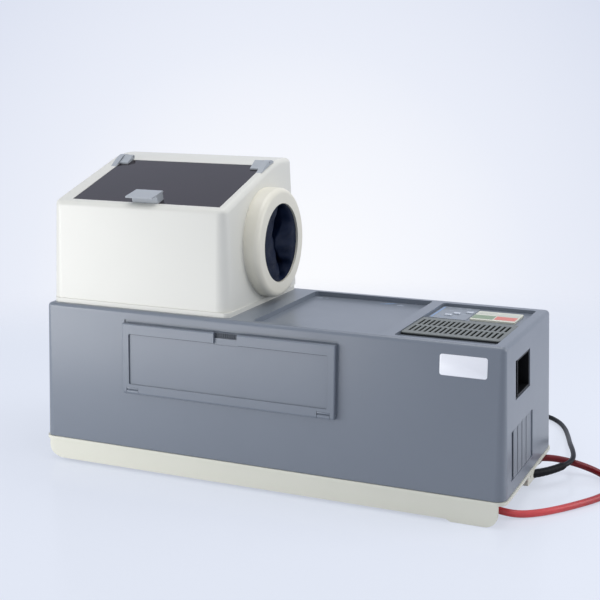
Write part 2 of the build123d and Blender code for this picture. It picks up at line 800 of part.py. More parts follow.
with BuildPart() as lid_leaves:
    for x in leaf_spots:
        with BuildSketch(slope_section(x)):
            with Locations((hinge_run, hinge_rise)):
                Circle(hinge_knuckle)
            with BuildLine():
                foot = hinge_run - leaf_size[1]
                Polyline(
                    (foot, -pane_flush),
                    (pane_back - 2, -pane_flush),
                    (pane_back - 1, hinge_rise - hinge_knuckle),
                    (hinge_run, hinge_rise - hinge_knuckle),
                    (hinge_run, hinge_rise + hinge_knuckle),
                    (foot + 8, leaf_size[2]),
                    (foot, leaf_size[2] / 2),
                    close=True,
                )
            make_face()
            with Locations((hinge_run, hinge_rise)):
                Circle(hinge_pin_radius, mode=Mode.SUBTRACT)
        extrude(amount=leaf_size[0] / 2, both=True)
write_piece(lid_leaves, "lid_leaves")

with BuildPart() as lid_cheeks:
    for x in cheek_spots:
        with BuildSketch(slope_section(x)):
            with BuildLine():
                run = cheek_size[1]
                start = (hinge_run - 0.72 * run, -2)
                end = (hinge_run + 0.28 * run, -3)
                brow = (hinge_run, cheek_size[2])
                Spline(start, (hinge_run - 0.35 * run, 3.2), brow, end)
                Line(end, start)
            make_face()
            with Locations((hinge_run, hinge_rise)):
                Circle(hinge_pin_radius + running_clearance, mode=Mode.SUBTRACT)
        extrude(amount=cheek_size[0] / 2, both=True)
    add(loader_outer, mode=Mode.SUBTRACT)
write_piece(lid_cheeks, "lid_cheeks")

with BuildPart() as lid_pins:
    for x, side in zip(cheek_spots, (-1, 1)):
        pin_mid = x - side * (cheek_gap + 3)
        with BuildSketch(slope_section(pin_mid)):
            with Locations((hinge_run, hinge_rise)):
                Circle(hinge_pin_radius)
        extrude(amount=cheek_size[0] / 2 + 3, both=True)
write_piece(lid_pins, "lid_pins")

# Lid catch: a block with a thumb plate, sliding on the pane
with BuildPart() as lid_catch:
    catch_mid = catch_shift - pane_shift
    with BuildSketch(slope_section(catch_mid)):
        with BuildLine():
            back = pane_front + catch_block[0]
            Polyline(
                (pane_front, -pane_flush),
                (back, -pane_flush),
                (back, catch_block[1]),
                (pane_front, catch_block[1] + catch_block[0] * tan(radians(catch_tilt))),
                close=True,
            )
        make_face()
    extrude(amount=catch_width / 2, both=True)
    fillet(lid_catch.edges().filter_by(Axis(slope.origin, slope.z_dir)), 1)
    with BuildSketch(slope_section(catch_mid)):
        with Locations((back + 0.8, catch_block[1] - 0.2)):
            Rectangle(catch_cap[1], catch_cap[2], rotation=-catch_tilt, align=(Align.MAX, Align.MIN))
    extrude(amount=catch_cap[0] / 2, both=True)
write_piece(lid_catch, "lid_catch")

# Film inlet guide
with BuildPart() as film_inlet:
    with BuildSketch(Plane.XY.offset(cover_top)):
        with Locations((inlet_x, 0)):
            RectangleRounded(inlet_flange[0], inlet_flange[1], 4)
    extrude(amount=inlet_flange[2])
    with BuildSketch(Plane.XY.offset(inlet_bottom)):
        with Locations((inlet_x, 0)):
            Rectangle(*inlet_body)
    extrude(amount=cover_top - inlet_bottom)
    with BuildSketch(Plane.XZ):
        with BuildLine():
            mouth_top = cover_top + inlet_flange[2]
            Polyline(
                (inlet_x - inlet_slot / 2, inlet_bottom),
                (inlet_x + inlet_slot / 2, inlet_bottom),
                (inlet_x + inlet_slot / 2, cover_top - 10),
                (inlet_x + inlet_body[0] / 2 - 2, mouth_top),
                (inlet_x - inlet_body[0] / 2 + 2, mouth_top),
                (inlet_x - inlet_slot / 2, cover_top - 10),
                close=True,
            )
        make_face()
    extrude(amount=inlet_body[1] / 2 - 3, both=True, mode=Mode.SUBTRACT)
write_piece(film_inlet, "film_inlet")

# Tank block: three cells with round bottoms, on a hollow skirt
cell_spots = [tank_mid + (i - (tank_cells - 1) / 2) * cell_pitch for i in range(tank_cells)]
tank_bottom = pad_height + tray_wall

with BuildPart() as tank_block:
    with BuildSketch(Plane.XY.offset(tank_bottom)):
        with Locations((tank_mid, 0)):
            RectangleRounded(tank_length, tank_depth, 4)
    extrude(amount=tank_top - tank_bottom)
    with BuildSketch(Plane.XY.offset(tank_bottom)):
        with Locations((tank_mid, 0)):
            Rectangle(tank_length - 2 * tank_wall, tank_depth - 2 * tank_wall)
    extrude(amount=cell_floor - tank_wall - tank_bottom, mode=Mode.SUBTRACT)
    with BuildSketch(Plane.XZ) as cells:
        with Locations(*[(x, (cell_floor + tank_top) / 2) for x in cell_spots]):
            Rectangle(cell_length, tank_top - cell_floor)
        fillet(cells.vertices().group_by(Axis.Y)[0], cell_round)
    extrude(amount=tank_depth / 2 - tank_wall, both=True, mode=Mode.SUBTRACT)
write_piece(tank_block, "tank_block")

# Rack plates: a rail above the tanks with a leg into each cell
top_spots = [tank_mid + (i - tank_cells / 2) * cell_pitch for i in range(tank_cells + 1)]
top_spots.append(cover_x + exit_roller_x)
tie_spots = [(x, roller_z) for x in cell_spots] + [(cover_x + hood_from_x + tie_inset, roller_z)]

for end, near in (("front", -rack_y - rack_wall), ("back", rack_y)):
    with BuildPart() as rack_plate:
        rack_plane = Plane.XZ.offset(-near)
        with BuildSketch(rack_plane) as outline:
            with Locations((cover_x + (rack_left + rack_right) / 2, (tank_top + rail_top) / 2)):
                Rectangle(rack_right - rack_left, rack_rail)
            with Locations(*[(x, (leg_bottom + tank_top) / 2) for x in cell_spots]):
                Rectangle(leg_width, tank_top - leg_bottom)
            if end == "back":
                with Locations((cover_x + motor_x, (tank_top + motor_z - motor_radius - 6) / 2)):
                    Rectangle(2 * motor_radius + 14, tank_top - motor_z + motor_radius + 6)
            with Locations(*[(x, (turn_z + tank_top) / 2 + 8) for x in cell_spots]):
                RectangleRounded(leg_width - 20, tank_top - turn_z - 36, 6, mode=Mode.SUBTRACT)
            with Locations(*[(x, roller_z) for x in top_spots], *[(x, turn_z) for x in cell_spots]):
                Circle(journal_radius + running_clearance, mode=Mode.SUBTRACT)
            with Locations(*tie_spots):
                Circle(tie_radius / 2, mode=Mode.SUBTRACT)
            if end == "back":
                with Locations((cover_x + motor_x, motor_z)):
                    Circle(journal_radius + 2, mode=Mode.SUBTRACT)
        extrude(amount=-rack_wall)
    write_piece(rack_plate, f"rack_plate_{end}")

with BuildPart() as rack_ties:
    for x, z in tie_spots:
        for radius, half in ((tie_radius, rack_y), (tie_radius / 2, rack_y + rack_wall)):
            with BuildSketch(axle_plane(x, z, 0)):
                Circle(radius)
            extrude(amount=half, both=True)
write_piece(rack_ties, "rack_ties")


def stepped_axle(x, z, steps):
    # cylinders end to end along Y: start, end, radius
    for near, far, radius in steps:
        with BuildSketch(axle_plane(x, z, near)) as disc:
            Circle(radius)
        extrude(disc.sketch, amount=far - near)


# Driven rollers, each with its belt pulley moulded on the journal
roller_names = ("entry_roller", "crossover_roller_1", "crossover_roller_2", "squeegee_roller", "exit_roller")
face_y = rack_y - 1
pulley_mid = pulley_start + pulley_width / 2
journal_end = rack_y + rack_wall + 2

for name, x in zip(roller_names, top_spots):
    with BuildPart() as roller:
        stepped_axle(
            x,
            roller_z,
            (
                (-journal_end, pulley_start, journal_radius),
                (-face_y, face_y, roller_radius),
                (pulley_start, pulley_start + pulley_width, pulley_radius),
            ),
        )
        fillet(roller.edges().filter_by(GeomType.CIRCLE).group_by(Axis.Y)[1], 1)
    write_piece(roller, name)

for number, x in enumerate(cell_spots, 1):
    with BuildPart() as roller:
        stepped_axle(
            x,
            turn_z,
            ((-journal_end, journal_end, journal_radius), (-face_y, face_y, turn_radius)),
        )
    write_piece(roller, f"turn_roller_{number}")

# Motor on the back plate, its pulley and the drive belt
with BuildPart() as motor_body:
    stepped_axle(
        cover_x + motor_x,
        motor_z,
        (
            (rack_y - motor_length, rack_y, motor_radius),
            (rack_y - motor_length - motor_nose, rack_y - motor_length, motor_radius / 2),
        ),
    )
    with BuildSketch(axle_plane(cover_x + motor_x, motor_z, rack_y)):
        Circle(journal_radius + running_clearance)
    extrude(amount=-12, mode=Mode.SUBTRACT)
write_piece(motor_body, "motor_body")

with BuildPart() as motor_pulley:
    stepped_axle(
        cover_x + motor_x,
        motor_z,
        (
            (rack_y - 11, pulley_start, journal_radius),
            (pulley_start, pulley_start + pulley_width, motor_pulley_radius),
        ),
    )
write_piece(motor_pulley, "motor_pulley")

belt_rounds = [
    (top_spots[0], roller_z, pulley_radius),
    (top_spots[-1], roller_z, pulley_radius),
    (cover_x + motor_x, motor_z, motor_pulley_radius),
]

with BuildPart() as drive_belt:
    for grow, mode in ((belt_clearance + belt_thickness, Mode.ADD), (belt_clearance, Mode.SUBTRACT)):
        with BuildSketch(Plane.XZ.offset(-pulley_mid)) as run:
            for x, z, radius in belt_rounds:
                with Locations((x, z)):
                    Circle(radius + grow)
            make_hull(run.edges())
        extrude(amount=belt_width / 2, both=True, mode=mode)
write_piece(drive_belt, "drive_belt")

# Dryer: hood plate, heater frame and fan
hood_x = (cover_x + hood_from_x, cover_x + rack_right)
fan_mid = (cover_x + grille_x, grille_y)

with BuildPart() as dryer_hood:
    with BuildSketch(Plane.XY.offset(rail_top)):
        with Locations((sum(hood_x) / 2, 0)):
            Rectangle(hood_x[1] - hood_x[0], 2 * (rack_y + rack_wall))
        with Locations(fan_mid):
            Circle(fan_bore, mode=Mode.SUBTRACT)
    extrude(amount=hood_thickness)
write_piece(dryer_hood, "dryer_hood")

with BuildPart() as heater:
    with BuildSketch(Plane.XY.offset(hood_top)):
        with Locations((fan_mid[0], fan_mid[1] + 4)):
            Rectangle(heater_size[0], heater_size[1])
            Rectangle(heater_size[0] - 8, heater_size[1] - 8, mode=Mode.SUBTRACT)
    extrude(amount=heater_size[2])
    with BuildSketch(Plane.YZ.offset(fan_mid[0])):
        with Locations((fan_mid[1] + 4, hood_top + heater_size[2] / 2)):
            with GridLocations(heater_size[1] / 5, 0, 4, 1):
                Circle(heater_rod)
    extrude(amount=heater_size[0] / 2 - 3, both=True)
write_piece(heater, "heater")

with BuildPart() as fan_housing:
    with BuildSketch(Plane.XY.offset(heater_top)):
        with Locations(fan_mid):
            RectangleRounded(fan_size, fan_size, 5)
            Circle(fan_bore, mode=Mode.SUBTRACT)
    extrude(amount=fan_height)
    with BuildSketch(Plane.XY.offset(heater_top)):
        with Locations(fan_mid):
            Circle(hub_radius)
            Rectangle(2 * fan_bore + 2, 4)
            Rectangle(4, 2 * fan_bore + 2)
            Circle(fan_pin + running_clearance, mode=Mode.SUBTRACT)
    extrude(amount=fan_hub_base)
write_piece(fan_housing, "fan_housing")

with BuildPart() as fan_rotor:
    with BuildSketch(Plane.XY.offset(heater_top + 3)):
        with Locations(fan_mid):
            Circle(hub_radius)
            with PolarLocations((hub_radius + blade_tip) / 2, blade_count):
                Rectangle(blade_tip - hub_radius + 1, blade_width, rotation=blade_turn)
    extrude(amount=fan_height - 4.5)
    with BuildSketch(Plane.XY.offset(heater_top)):
        with Locations(fan_mid):
            Circle(fan_pin)
    extrude(amount=4)
write_piece(fan_rotor, "fan_rotor")

# Transformer and water pump on the tray's floor
with BuildPart() as transformer:
    with BuildSketch(Plane.XY.offset(tank_bottom)):
        with Locations((cover_x + core_spot[0], core_spot[1])):
            Rectangle(core_size[0], core_size[1] / 2)
    extrude(amount=core_size[2])
    with BuildSketch(Plane.XY.offset(tank_bottom + core_rim)):
        with Locations((cover_x + core_spot[0], core_spot[1])):
            RectangleRounded(core_size[0] - 2 * core_rim, core_size[1], 6)
    extrude(amount=core_size[2] - 2 * core_rim)
write_piece(transformer, "transformer")

with BuildPart() as water_pump:
    pump_z = tank_bottom + pump_radius + pump_lift
    with BuildSketch(Plane.YZ.offset(cover_x + pump_spot[0])):
        with Locations((pump_spot[1], pump_z)):
            Circle(pump_radius)
    extrude(amount=pump_length / 2, both=True)
    with BuildSketch(Plane.XY.offset(tank_bottom)):
        with Locations((cover_x + pump_spot[0], pump_spot[1])):
            Rectangle(pump_length - pump_foot, 2 * pump_radius)
    extrude(amount=pump_radius + pump_lift)
write_piece(water_pump, "water_pump")

# Hose spigots on the bay wall
bay_wall = Plane(origin=(cover_x + bay_x, 0, 0), x_dir=(0, 1, 0), z_dir=(1, 0, 0))

with BuildPart() as hose_spigots:
    for y, z in spigot_spots:
        with BuildSketch(bay_wall):
            with Locations((y, z)):
                RegularPolygon(spigot_nut[0], 6)
        extrude(amount=spigot_nut[1])
        with BuildSketch(bay_wall):
            with Locations((y, z)):
                Circle(hose_radius)
        extrude(amount=spigot_reach)
write_piece(hose_spigots, "hose_spigots")

# Cord clamp under the lip, with the strain relief through it
clamp_spot = (right_end + clamp_place[0], clamp_place[1])
sleeve_origin = Vector(*clamp_spot, cord_height)
sleeve_tip_end = Vector(right_end + sleeve_end[0], sleeve_end[1], sleeve_end[2])
sleeve_way = (sleeve_tip_end - sleeve_origin).normalized()
sleeve_run = (sleeve_tip_end - sleeve_origin).length
sleeve_plane = Plane(origin=sleeve_origin, z_dir=sleeve_way)
clamp_depth = 12.0

with BuildPart() as cord_clamp:
    with BuildSketch(Plane.XY.offset(clamp_bottom)):
        with Locations((clamp_spot[0] + clamp_shift[0], clamp_spot[1] + clamp_shift[1])):
            RectangleRounded(*clamp_size, clamp_corner)
    extrude(amount=lip_bottom - clamp_bottom)
    with BuildSketch(sleeve_plane.offset(-clamp_depth)):
        Circle(sleeve_radius)
    extrude(amount=3 * clamp_depth, mode=Mode.SUBTRACT)
    clamp_face = clamp_spot[0] + clamp_shift[0] + clamp_size[0] / 2
    with BuildSketch(Plane.YZ.offset(clamp_face)):
        with Locations(clamp_screw[:2]):
            Circle(clamp_screw[2])
    extrude(amount=-clamp_screw[3], mode=Mode.SUBTRACT)
write_piece(cord_clamp, "cord_clamp")

with BuildPart() as strain_relief:
    with BuildSketch(sleeve_plane.offset(-clamp_depth)):
        Circle(sleeve_radius)
    extrude(amount=clamp_depth + sleeve_run, taper=0.4)
write_piece(strain_relief, "strain_relief")


# Free cords: straight runs joined by arcs as large as the runs allow
def corner_radii(points):
    places = [Vector(*p) for p in points]
    radii = []
    for before, here, after in zip(places, places[1:], places[2:]):
        turn = radians((here - before).get_angle(after - here))
        run = min((here - before).length, (after - here).length)
        radii.append(0.45 * run / tan(turn / 2))
    return radii


def cord_tube(points, radius, name):
    shifted = [(right_end + x, y, z) for x, y, z in points]
    radii = corner_radii(shifted)
    with BuildPart() as tube:
        with BuildLine() as route:
            FilletPolyline(*shifted, radius=radii)
        path = route.wire()
        with BuildSketch(Plane(origin=path @ 0, z_dir=path % 0)) as section:
            Circle(radius)
        sweep(section.sketch, path=path)
    swept = pi * radius**2 * path.length
    print(name, "radii", [round(r) for r in radii])
    print(name, "length", round(path.length), "volume ratio", round(tube.part.volume / swept, 4))
    write_piece(tube, name)


cord_low = cord_radius + 0.05
coil_spot = (cover_right + coil_place[0], coil_place[1])
power_route = [
    sleeve_end,
    (38.3, 87.7, 22.3),
    (39.5, 108, 27),
    (33, 131, 26),
    (25, 155, 19.5),
    (17, 182, 11),
    (7.5, 214, 5),
    (-3, 247, cord_low),
    (-14, 280, cord_low),
    (-28, 310, cord_low),
    (-49, 334, cord_low),
    (-77, 342, cord_low),
    (-103, 332, cord_low),
    (-122, 309, cord_low),
    (-132, 280, cord_low),
    (-135.5, 253, cord_low),
    (coil_place[0] + coil_radius, coil_place[1] + 4, cord_low),
]
cord_tube(power_route, cord_radius, "power_cord")

coil_height = 2 * cord_radius * coil_turns[1]
coil_half = cord_radius * coil_turns[0]
coil_mid_radius = coil_radius - coil_half + cord_radius

with BuildPart() as cord_coil:
    with BuildSketch():
        with Locations((cover_x + coil_spot[0], coil_spot[1])):
            Circle(coil_mid_radius + coil_half)
            Circle(coil_mid_radius - coil_half, mode=Mode.SUBTRACT)
    extrude(amount=coil_height)
    fillet(cord_coil.edges(), cord_radius * 0.9)
write_piece(cord_coil, "cord_coil")

hose_low = hose_radius + 0.05
hose_route = [
    (hose_start, spigot_spots[0][0], spigot_spots[0][1]),
    (hose_start + 18, spigot_spots[0][0], spigot_spots[0][1]),
    (-17, -81.5, 9),
    (6, -75, hose_low + 0.5),
    (28, -58, hose_low),
    (48, -35, hose_low),
    (67, -8, hose_low),
    (83, 18, hose_low),
    (93, 45, hose_low),
    (94, 73, hose_low),
    (82, 97, hose_low + 0.3),
    (59, 110, 9),
    (31, 111, 15),
    (5, 103, 20),
    (hose_start + 40, 90, spigot_spots[1][1] + 0.3),
    (hose_start + 18, spigot_spots[1][0], spigot_spots[1][1]),
    (hose_start, spigot_spots[1][0], spigot_spots[1][1]),
]
cord_tube(hose_route, hose_radius, "drain_hose")

# Mains plug beside the coil, and its lead from the coil
plug_end = (-263.0, 160.0)
plug_radius = 17.0
plug_length = 38.0
plug_neck = (6.0, 10.0)  # radius, length
pin_spacing = 19.0
pin_radius = 2.4
pin_length = 19.0
plug_z = plug_radius + 0.5
plug_way = Vector(1, 0.35, 0).normalized()
plug_plane = Plane(origin=(right_end + plug_end[0], plug_end[1], plug_z), z_dir=plug_way)

with BuildPart() as power_plug:
    with BuildSketch(plug_plane):
        Circle(plug_neck[0])
    extrude(amount=-plug_neck[1])
    with BuildSketch(plug_plane.offset(-plug_neck[1])):
        Circle(plug_radius)
    extrude(amount=-plug_length)
    with BuildSketch(plug_plane.offset(-plug_neck[1] - plug_length)):
        with GridLocations(pin_spacing, 0, 2, 1):
            Circle(pin_radius)
    extrude(amount=-pin_length)
write_piece(power_plug, "power_plug")

tail_start = Vector(*plug_end, plug_z)
tail_route = [
    tuple(tail_start),
    tuple(tail_start + plug_way * 18),
    (-226, 171.5, 12),
    (-205, 176, 6),
    (-184, 180, cord_low),
    (coil_place[0] + 9.6, coil_place[1] - 35.7, cord_low),
]
cord_tube(tail_route, cord_radius, "plug_lead")
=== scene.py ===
import math
import bmesh
import bpy
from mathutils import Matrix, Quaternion, Vector, noise


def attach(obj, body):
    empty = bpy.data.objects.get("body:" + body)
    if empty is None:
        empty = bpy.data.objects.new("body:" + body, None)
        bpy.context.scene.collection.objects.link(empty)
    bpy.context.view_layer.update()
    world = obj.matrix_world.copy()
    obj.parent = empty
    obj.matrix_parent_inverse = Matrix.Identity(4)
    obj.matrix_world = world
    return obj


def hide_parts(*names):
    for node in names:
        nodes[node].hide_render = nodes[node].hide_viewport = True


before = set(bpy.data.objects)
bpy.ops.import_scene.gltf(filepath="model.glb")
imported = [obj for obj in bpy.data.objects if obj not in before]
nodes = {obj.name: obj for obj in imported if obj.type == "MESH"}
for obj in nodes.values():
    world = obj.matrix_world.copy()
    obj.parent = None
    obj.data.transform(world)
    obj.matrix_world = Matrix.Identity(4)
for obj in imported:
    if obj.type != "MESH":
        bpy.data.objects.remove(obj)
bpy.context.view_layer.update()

scene = bpy.context.scene
coverX = 0.006  # middle of the grey cover, all places below are measured from it


def linearColour(hexText):
    # sRGB hex to the linear numbers a shader wants
    parts = [int(hexText[i:i + 2], 16) / 255 for i in (0, 2, 4)]
    return (*[p / 12.92 if p <= 0.04045 else ((p + 0.055) / 1.055) ** 2.4 for p in parts], 1.0)


def scaledColour(colour, factor):
    # darker below 1, lighter above it
    return (*[min(1.0, c * factor) for c in colour[:3]], 1.0)


def addNode(tree, kind, settings={}, links={}):
    # settings go to inputs or properties by name, links feed inputs by name or number
    node = tree.nodes.new(kind)
    for name, value in settings.items():
        if isinstance(name, int) or name in node.inputs:
            node.inputs[name].default_value = value
        else:
            setattr(node, name, value)
    for name, socket in links.items():
        tree.links.new(socket, node.inputs[name])
    return node


def newMaterial(name, settings):
    # the material, its nodes, its shader and the places on the piece
    material = bpy.data.materials.new(name)
    material.use_nodes = True
    tree = material.node_tree
    shader = tree.nodes["Principled BSDF"]
    for key, value in settings.items():
        shader.inputs[key].default_value = value
    return material, tree, shader, addNode(tree, "ShaderNodeTexCoord").outputs["Object"]


def dress(nodeName, material):
    # a solid that is right as it is gets a better surface
    mesh = nodes[nodeName].data
    mesh.materials.clear()
    mesh.materials.append(material)


def addObject(name, data, materials, body="machine"):
    piece = bpy.data.objects.new(name, data)
    scene.collection.objects.link(piece)
    for material in materials:
        piece.data.materials.append(material)
    if body:
        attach(piece, body)
    return piece


def spot(x, y, z):
    # millimetres from the middle of the cover to a place in the shared frame
    return Vector((coverX + x / 1000, y / 1000, z / 1000))


def finishMesh(name, bm, materials, body="machine", sharpAngle=35):
    mesh = bpy.data.meshes.new(name)
    bm.normal_update()
    bm.to_mesh(mesh)
    bm.free()
    mesh.shade_smooth()
    mesh.set_sharp_from_angle(angle=math.radians(sharpAngle))
    return addObject(name, mesh, materials, body)


def addRing(bm, middle, across, other, radius, sides):
    # points in a circle, its radius in millimetres
    ring = []
    for i in range(sides):
        angle = 2 * math.pi * i / sides
        way = across * math.cos(angle) + other * math.sin(angle)
        ring.append(bm.verts.new(middle + way * radius / 1000))
    return ring


def skinRings(bm, rings, closed=True, flipped=False):
    # faces between neighbouring rings, and over both ends of a closed form
    for lower, upper in zip(rings, rings[1:]):
        for i in range(len(lower)):
            j = (i + 1) % len(lower)
            corners = (lower[i], lower[j], upper[j], upper[i])
            bm.faces.new(corners[::-1] if flipped else corners)
    if closed:
        bm.faces.new(rings[0][::-1])
        bm.faces.new(rings[-1])


def turnedForm(profile, base, way, sides=24):
    # a round form on a straight line, from pairs of distance and radius
    bm = bmesh.new()
    axis = way.normalized()
    across = axis.orthogonal().normalized()
    other = axis.cross(across)
    skinRings(bm, [addRing(bm, base + axis * along / 1000, across, other, radius, sides)
                   for along, radius in profile])
    return bm


def roundedPlate(plate, origin, right, up):
    # a thin plate with round corners and a softened edge, lying on a plane
    bm = bmesh.new()
    out = right.cross(up)
    size, corner, thickness, edge = (plate[key] for key in ("size", "corner", "thickness", "edge"))
    cornerSteps = 6
    softEdge = [(0, 0), (0, thickness - edge), (edge * 0.35, thickness - edge * 0.3), (edge, thickness)]
    rings = []
    for inset, height in softEdge:
        ring = []
        for cornerX, cornerY, start in ((1, 1, 0), (-1, 1, 90), (-1, -1, 180), (1, -1, 270)):
            for step in range(cornerSteps + 1):
                angle = math.radians(start + step * 90 / cornerSteps)
                x = cornerX * (size[0] / 2 - corner) + (corner - inset) * math.cos(angle)
                y = cornerY * (size[1] / 2 - corner) + (corner - inset) * math.sin(angle)
                ring.append(bm.verts.new(origin + (right * x + up * y + out * height) / 1000))
        rings.append(ring)
    skinRings(bm, rings)
    return bm


def printedMarks(marks, origin, right, up, lift=0.06):
    # ink lying on a surface: x, y, length, height, number of the ink, and turn in degrees and lean if any
    bm = bmesh.new()
    out = right.cross(up)
    for x, y, length, height, ink, *slant in marks:
        turn, lean = slant or (0, 0)
        angle = math.radians(turn)
        corners = []
        for a, b in ((-1, -1), (1, -1), (1, 1), (-1, 1)):
            u = a * length / 2 + b * lean / 2
            v = b * height / 2
            place = right * (x + u * math.cos(angle) - v * math.sin(angle)) + up * (
                y + u * math.sin(angle) + v * math.cos(angle)) + out * lift
            corners.append(bm.verts.new(origin + place / 1000))
        bm.faces.new(corners).material_index = ink
    return bm


# Camera
camera = {
    "place": (0.66785, -1.46336, 0.57045),
    "target": (0.013955, 0, 0.22756),
    "roll": -0.132,
    "lens": 74.19,
    "sensor": 36,
}
cameraData = bpy.data.cameras.new("camera")
cameraData.lens = camera["lens"]
cameraData.sensor_width = camera["sensor"]
cameraObject = bpy.data.objects.new("camera", cameraData)
scene.collection.objects.link(cameraObject)
scene.camera = cameraObject
look = Vector(camera["target"]) - Vector(camera["place"])
roll = Quaternion((0, 0, 1), math.radians(camera["roll"]))
cameraObject.location = camera["place"]
cameraObject.rotation_mode = "QUATERNION"
cameraObject.rotation_quaternion = look.to_track_quat("-Z", "Y") @ roll
print("camera placed")

# Studio: a pale table that melts into a pale room, with four soft lamps
studio = {
    "brightWay": (-0.411, 0.888, -0.207),  # where the far wall is lit most
    "brightEdge": 0.93,  # how near to that the brightening starts, 1 is straight on
    "wall": [(0.0, "D3D9EA"), (0.1, "D8DEEE"), (0.7, "EAEEF9"), (0.93, "F6F8FE"), (1.0, "FBFCFF")],
    "room": "EAEFFA",
    "fill": 0.55,  # share of the room's colour that lights the object
    "table": "EEF1F9",
    "glow": "E6ECF9",  # the table seen straight, before any shadow
    "glowShare": 0.65,
    "tableHalf": 2.4,
    "tableDrop": 0.0004,  # keeps the table clear of what stands on it
    "tableFade": (0.75, 1.35),
}
lamps = {
    "topLamp": {"place": (0.1, 0.1, 1.9), "target": (0, 0, 0.1), "size": (1.6, 1.2), "watts": 15},
    "leftLamp": {"place": (-1.15, -1.0, 0.3), "target": (-0.2, 0, 0.12), "size": (0.7, 0.4), "watts": 8.5,
                 "sparesTable": True},
    "bounceLamp": {"place": (-0.5, -0.76, 0.07), "target": (-0.16, -0.1, 0.07), "size": (0.8, 0.12),
                   "watts": 1.5, "sparesTable": True},  # stands for light thrown back by the bright table
    "rightLamp": {"place": (1.9, 0.6, 0.9), "target": (0, 0, 0.15), "size": (1.2, 1.4), "watts": 14},
}
scene.view_settings.view_transform = "Standard"
scene.world = bpy.data.worlds.new("room")
scene.world.use_nodes = True
tree = scene.world.node_tree
path = addNode(tree, "ShaderNodeLightPath")
seen = addNode(tree, "ShaderNodeMath", {"operation": "MAXIMUM"},
               {0: path.outputs["Is Camera Ray"], 1: path.outputs["Is Transmission Ray"]})
seenOrShiny = addNode(tree, "ShaderNodeMath", {"operation": "MAXIMUM"},
                      {0: seen.outputs[0], 1: path.outputs["Is Glossy Ray"]})
way = addNode(tree, "ShaderNodeTexCoord").outputs["Generated"]
brightWay = Vector(studio["brightWay"]).normalized()
nearness = addNode(tree, "ShaderNodeVectorMath", {"operation": "DOT_PRODUCT", 1: brightWay}, {0: way})
share = addNode(tree, "ShaderNodeMapRange", {"From Min": studio["brightEdge"], "From Max": 1.0},
                {"Value": nearness.outputs["Value"]})
ramp = addNode(tree, "ShaderNodeValToRGB", {}, {0: share.outputs[0]})
while len(ramp.color_ramp.elements) < len(studio["wall"]):
    ramp.color_ramp.elements.new(0.5)
for stop, (position, colour) in zip(ramp.color_ramp.elements, studio["wall"]):
    stop.position = position
    stop.color = linearColour(colour)
fillColour = scaledColour(linearColour(studio["room"]), studio["fill"])
chosen = addNode(tree, "ShaderNodeMix", {"data_type": "RGBA", 6: fillColour},
                 {0: seenOrShiny.outputs[0], 7: ramp.outputs[0]})
tree.links.new(chosen.outputs[2], tree.nodes["Background"].inputs["Color"])

# the table is glossy enough to hold a soft mirror image, and fades out before its edge
tableMaterial, tree, shader, place = newMaterial("whiteAcrylicSheetPolished", {
    "Base Color": linearColour(studio["table"]), "Roughness": 0.16, "IOR": 1.49, "Specular IOR Level": 0.35})
distance = addNode(tree, "ShaderNodeVectorMath", {"operation": "LENGTH"}, {0: place})
fadeFrom, fadeTo = studio["tableFade"]
fade = addNode(tree, "ShaderNodeMapRange", {
    "interpolation_type": "SMOOTHSTEP", "From Min": fadeFrom, "From Max": fadeTo},
    {"Value": distance.outputs["Value"]})
glow = addNode(tree, "ShaderNodeEmission", {"Color": linearColour(studio["glow"])})
path = addNode(tree, "ShaderNodeLightPath")
glowShare = addNode(tree, "ShaderNodeMath", {"operation": "MULTIPLY", 1: studio["glowShare"]},
                    {0: path.outputs["Is Camera Ray"]})
lit = addNode(tree, "ShaderNodeMixShader", {},
              {0: glowShare.outputs[0], 1: shader.outputs[0], 2: glow.outputs[0]})
clear = addNode(tree, "ShaderNodeBsdfTransparent")
mixed = addNode(tree, "ShaderNodeMixShader", {},
                {0: fade.outputs[0], 1: lit.outputs[0], 2: clear.outputs[0]})
tree.links.new(mixed.outputs[0], tree.nodes["Material Output"].inputs["Surface"])
half, drop = studio["tableHalf"], studio["tableDrop"]
tableCorners = [(-half, -half, -drop), (half, -half, -drop), (half, half, -drop), (-half, half, -drop)]
tableMesh = bpy.data.meshes.new("table")
tableMesh.from_pydata(tableCorners, [], [(0, 1, 2, 3)])
table = addObject("table", tableMesh, [tableMaterial], None)
sparedTable = bpy.data.collections.new("sparedTable")  # low lamps would burn a white patch into the table
sparedTable.objects.link(table)
sparedTable.collection_objects[0].light_linking.link_state = "EXCLUDE"

for name, lamp in lamps.items():
    light = bpy.data.lights.new(name, "AREA")
    light.shape = "RECTANGLE"
    light.size, light.size_y = lamp["size"]
    light.energy = lamp["watts"]
    lampObject = bpy.data.objects.new(name, light)
    scene.collection.objects.link(lampObject)
    lampObject.location = lamp["place"]
    lampObject.visible_camera = False  # lamps light the room but never stand in the picture
    if lamp.get("sparesTable"):
        lampObject.light_linking.receiver_collection = sparedTable
    aim = Vector(lamp["target"]) - Vector(lamp["place"])
    lampObject.rotation_euler = aim.to_track_quat("-Z", "Y").to_euler()
print("studio lit")

# Plastics. Every moulding has a fine spark-eroded grain, a faint cloudy shade and rubbed patches
moulding = {
    "ior": 1.52,
    "cloudScale": 9.0,  # clouds about 11 cm wide
    "rubbedScale": 23.0,  # patches about 4 cm wide
    "rubbedChange": (-0.012, 0.018),  # of the roughness
    "speckScale": 170.0,  # one speck of dust or small scuff in about 6 mm
    "speckEdge": (0.03, 0.12),  # full inside the first, gone beyond the second
    "speckShade": 0.75,
}


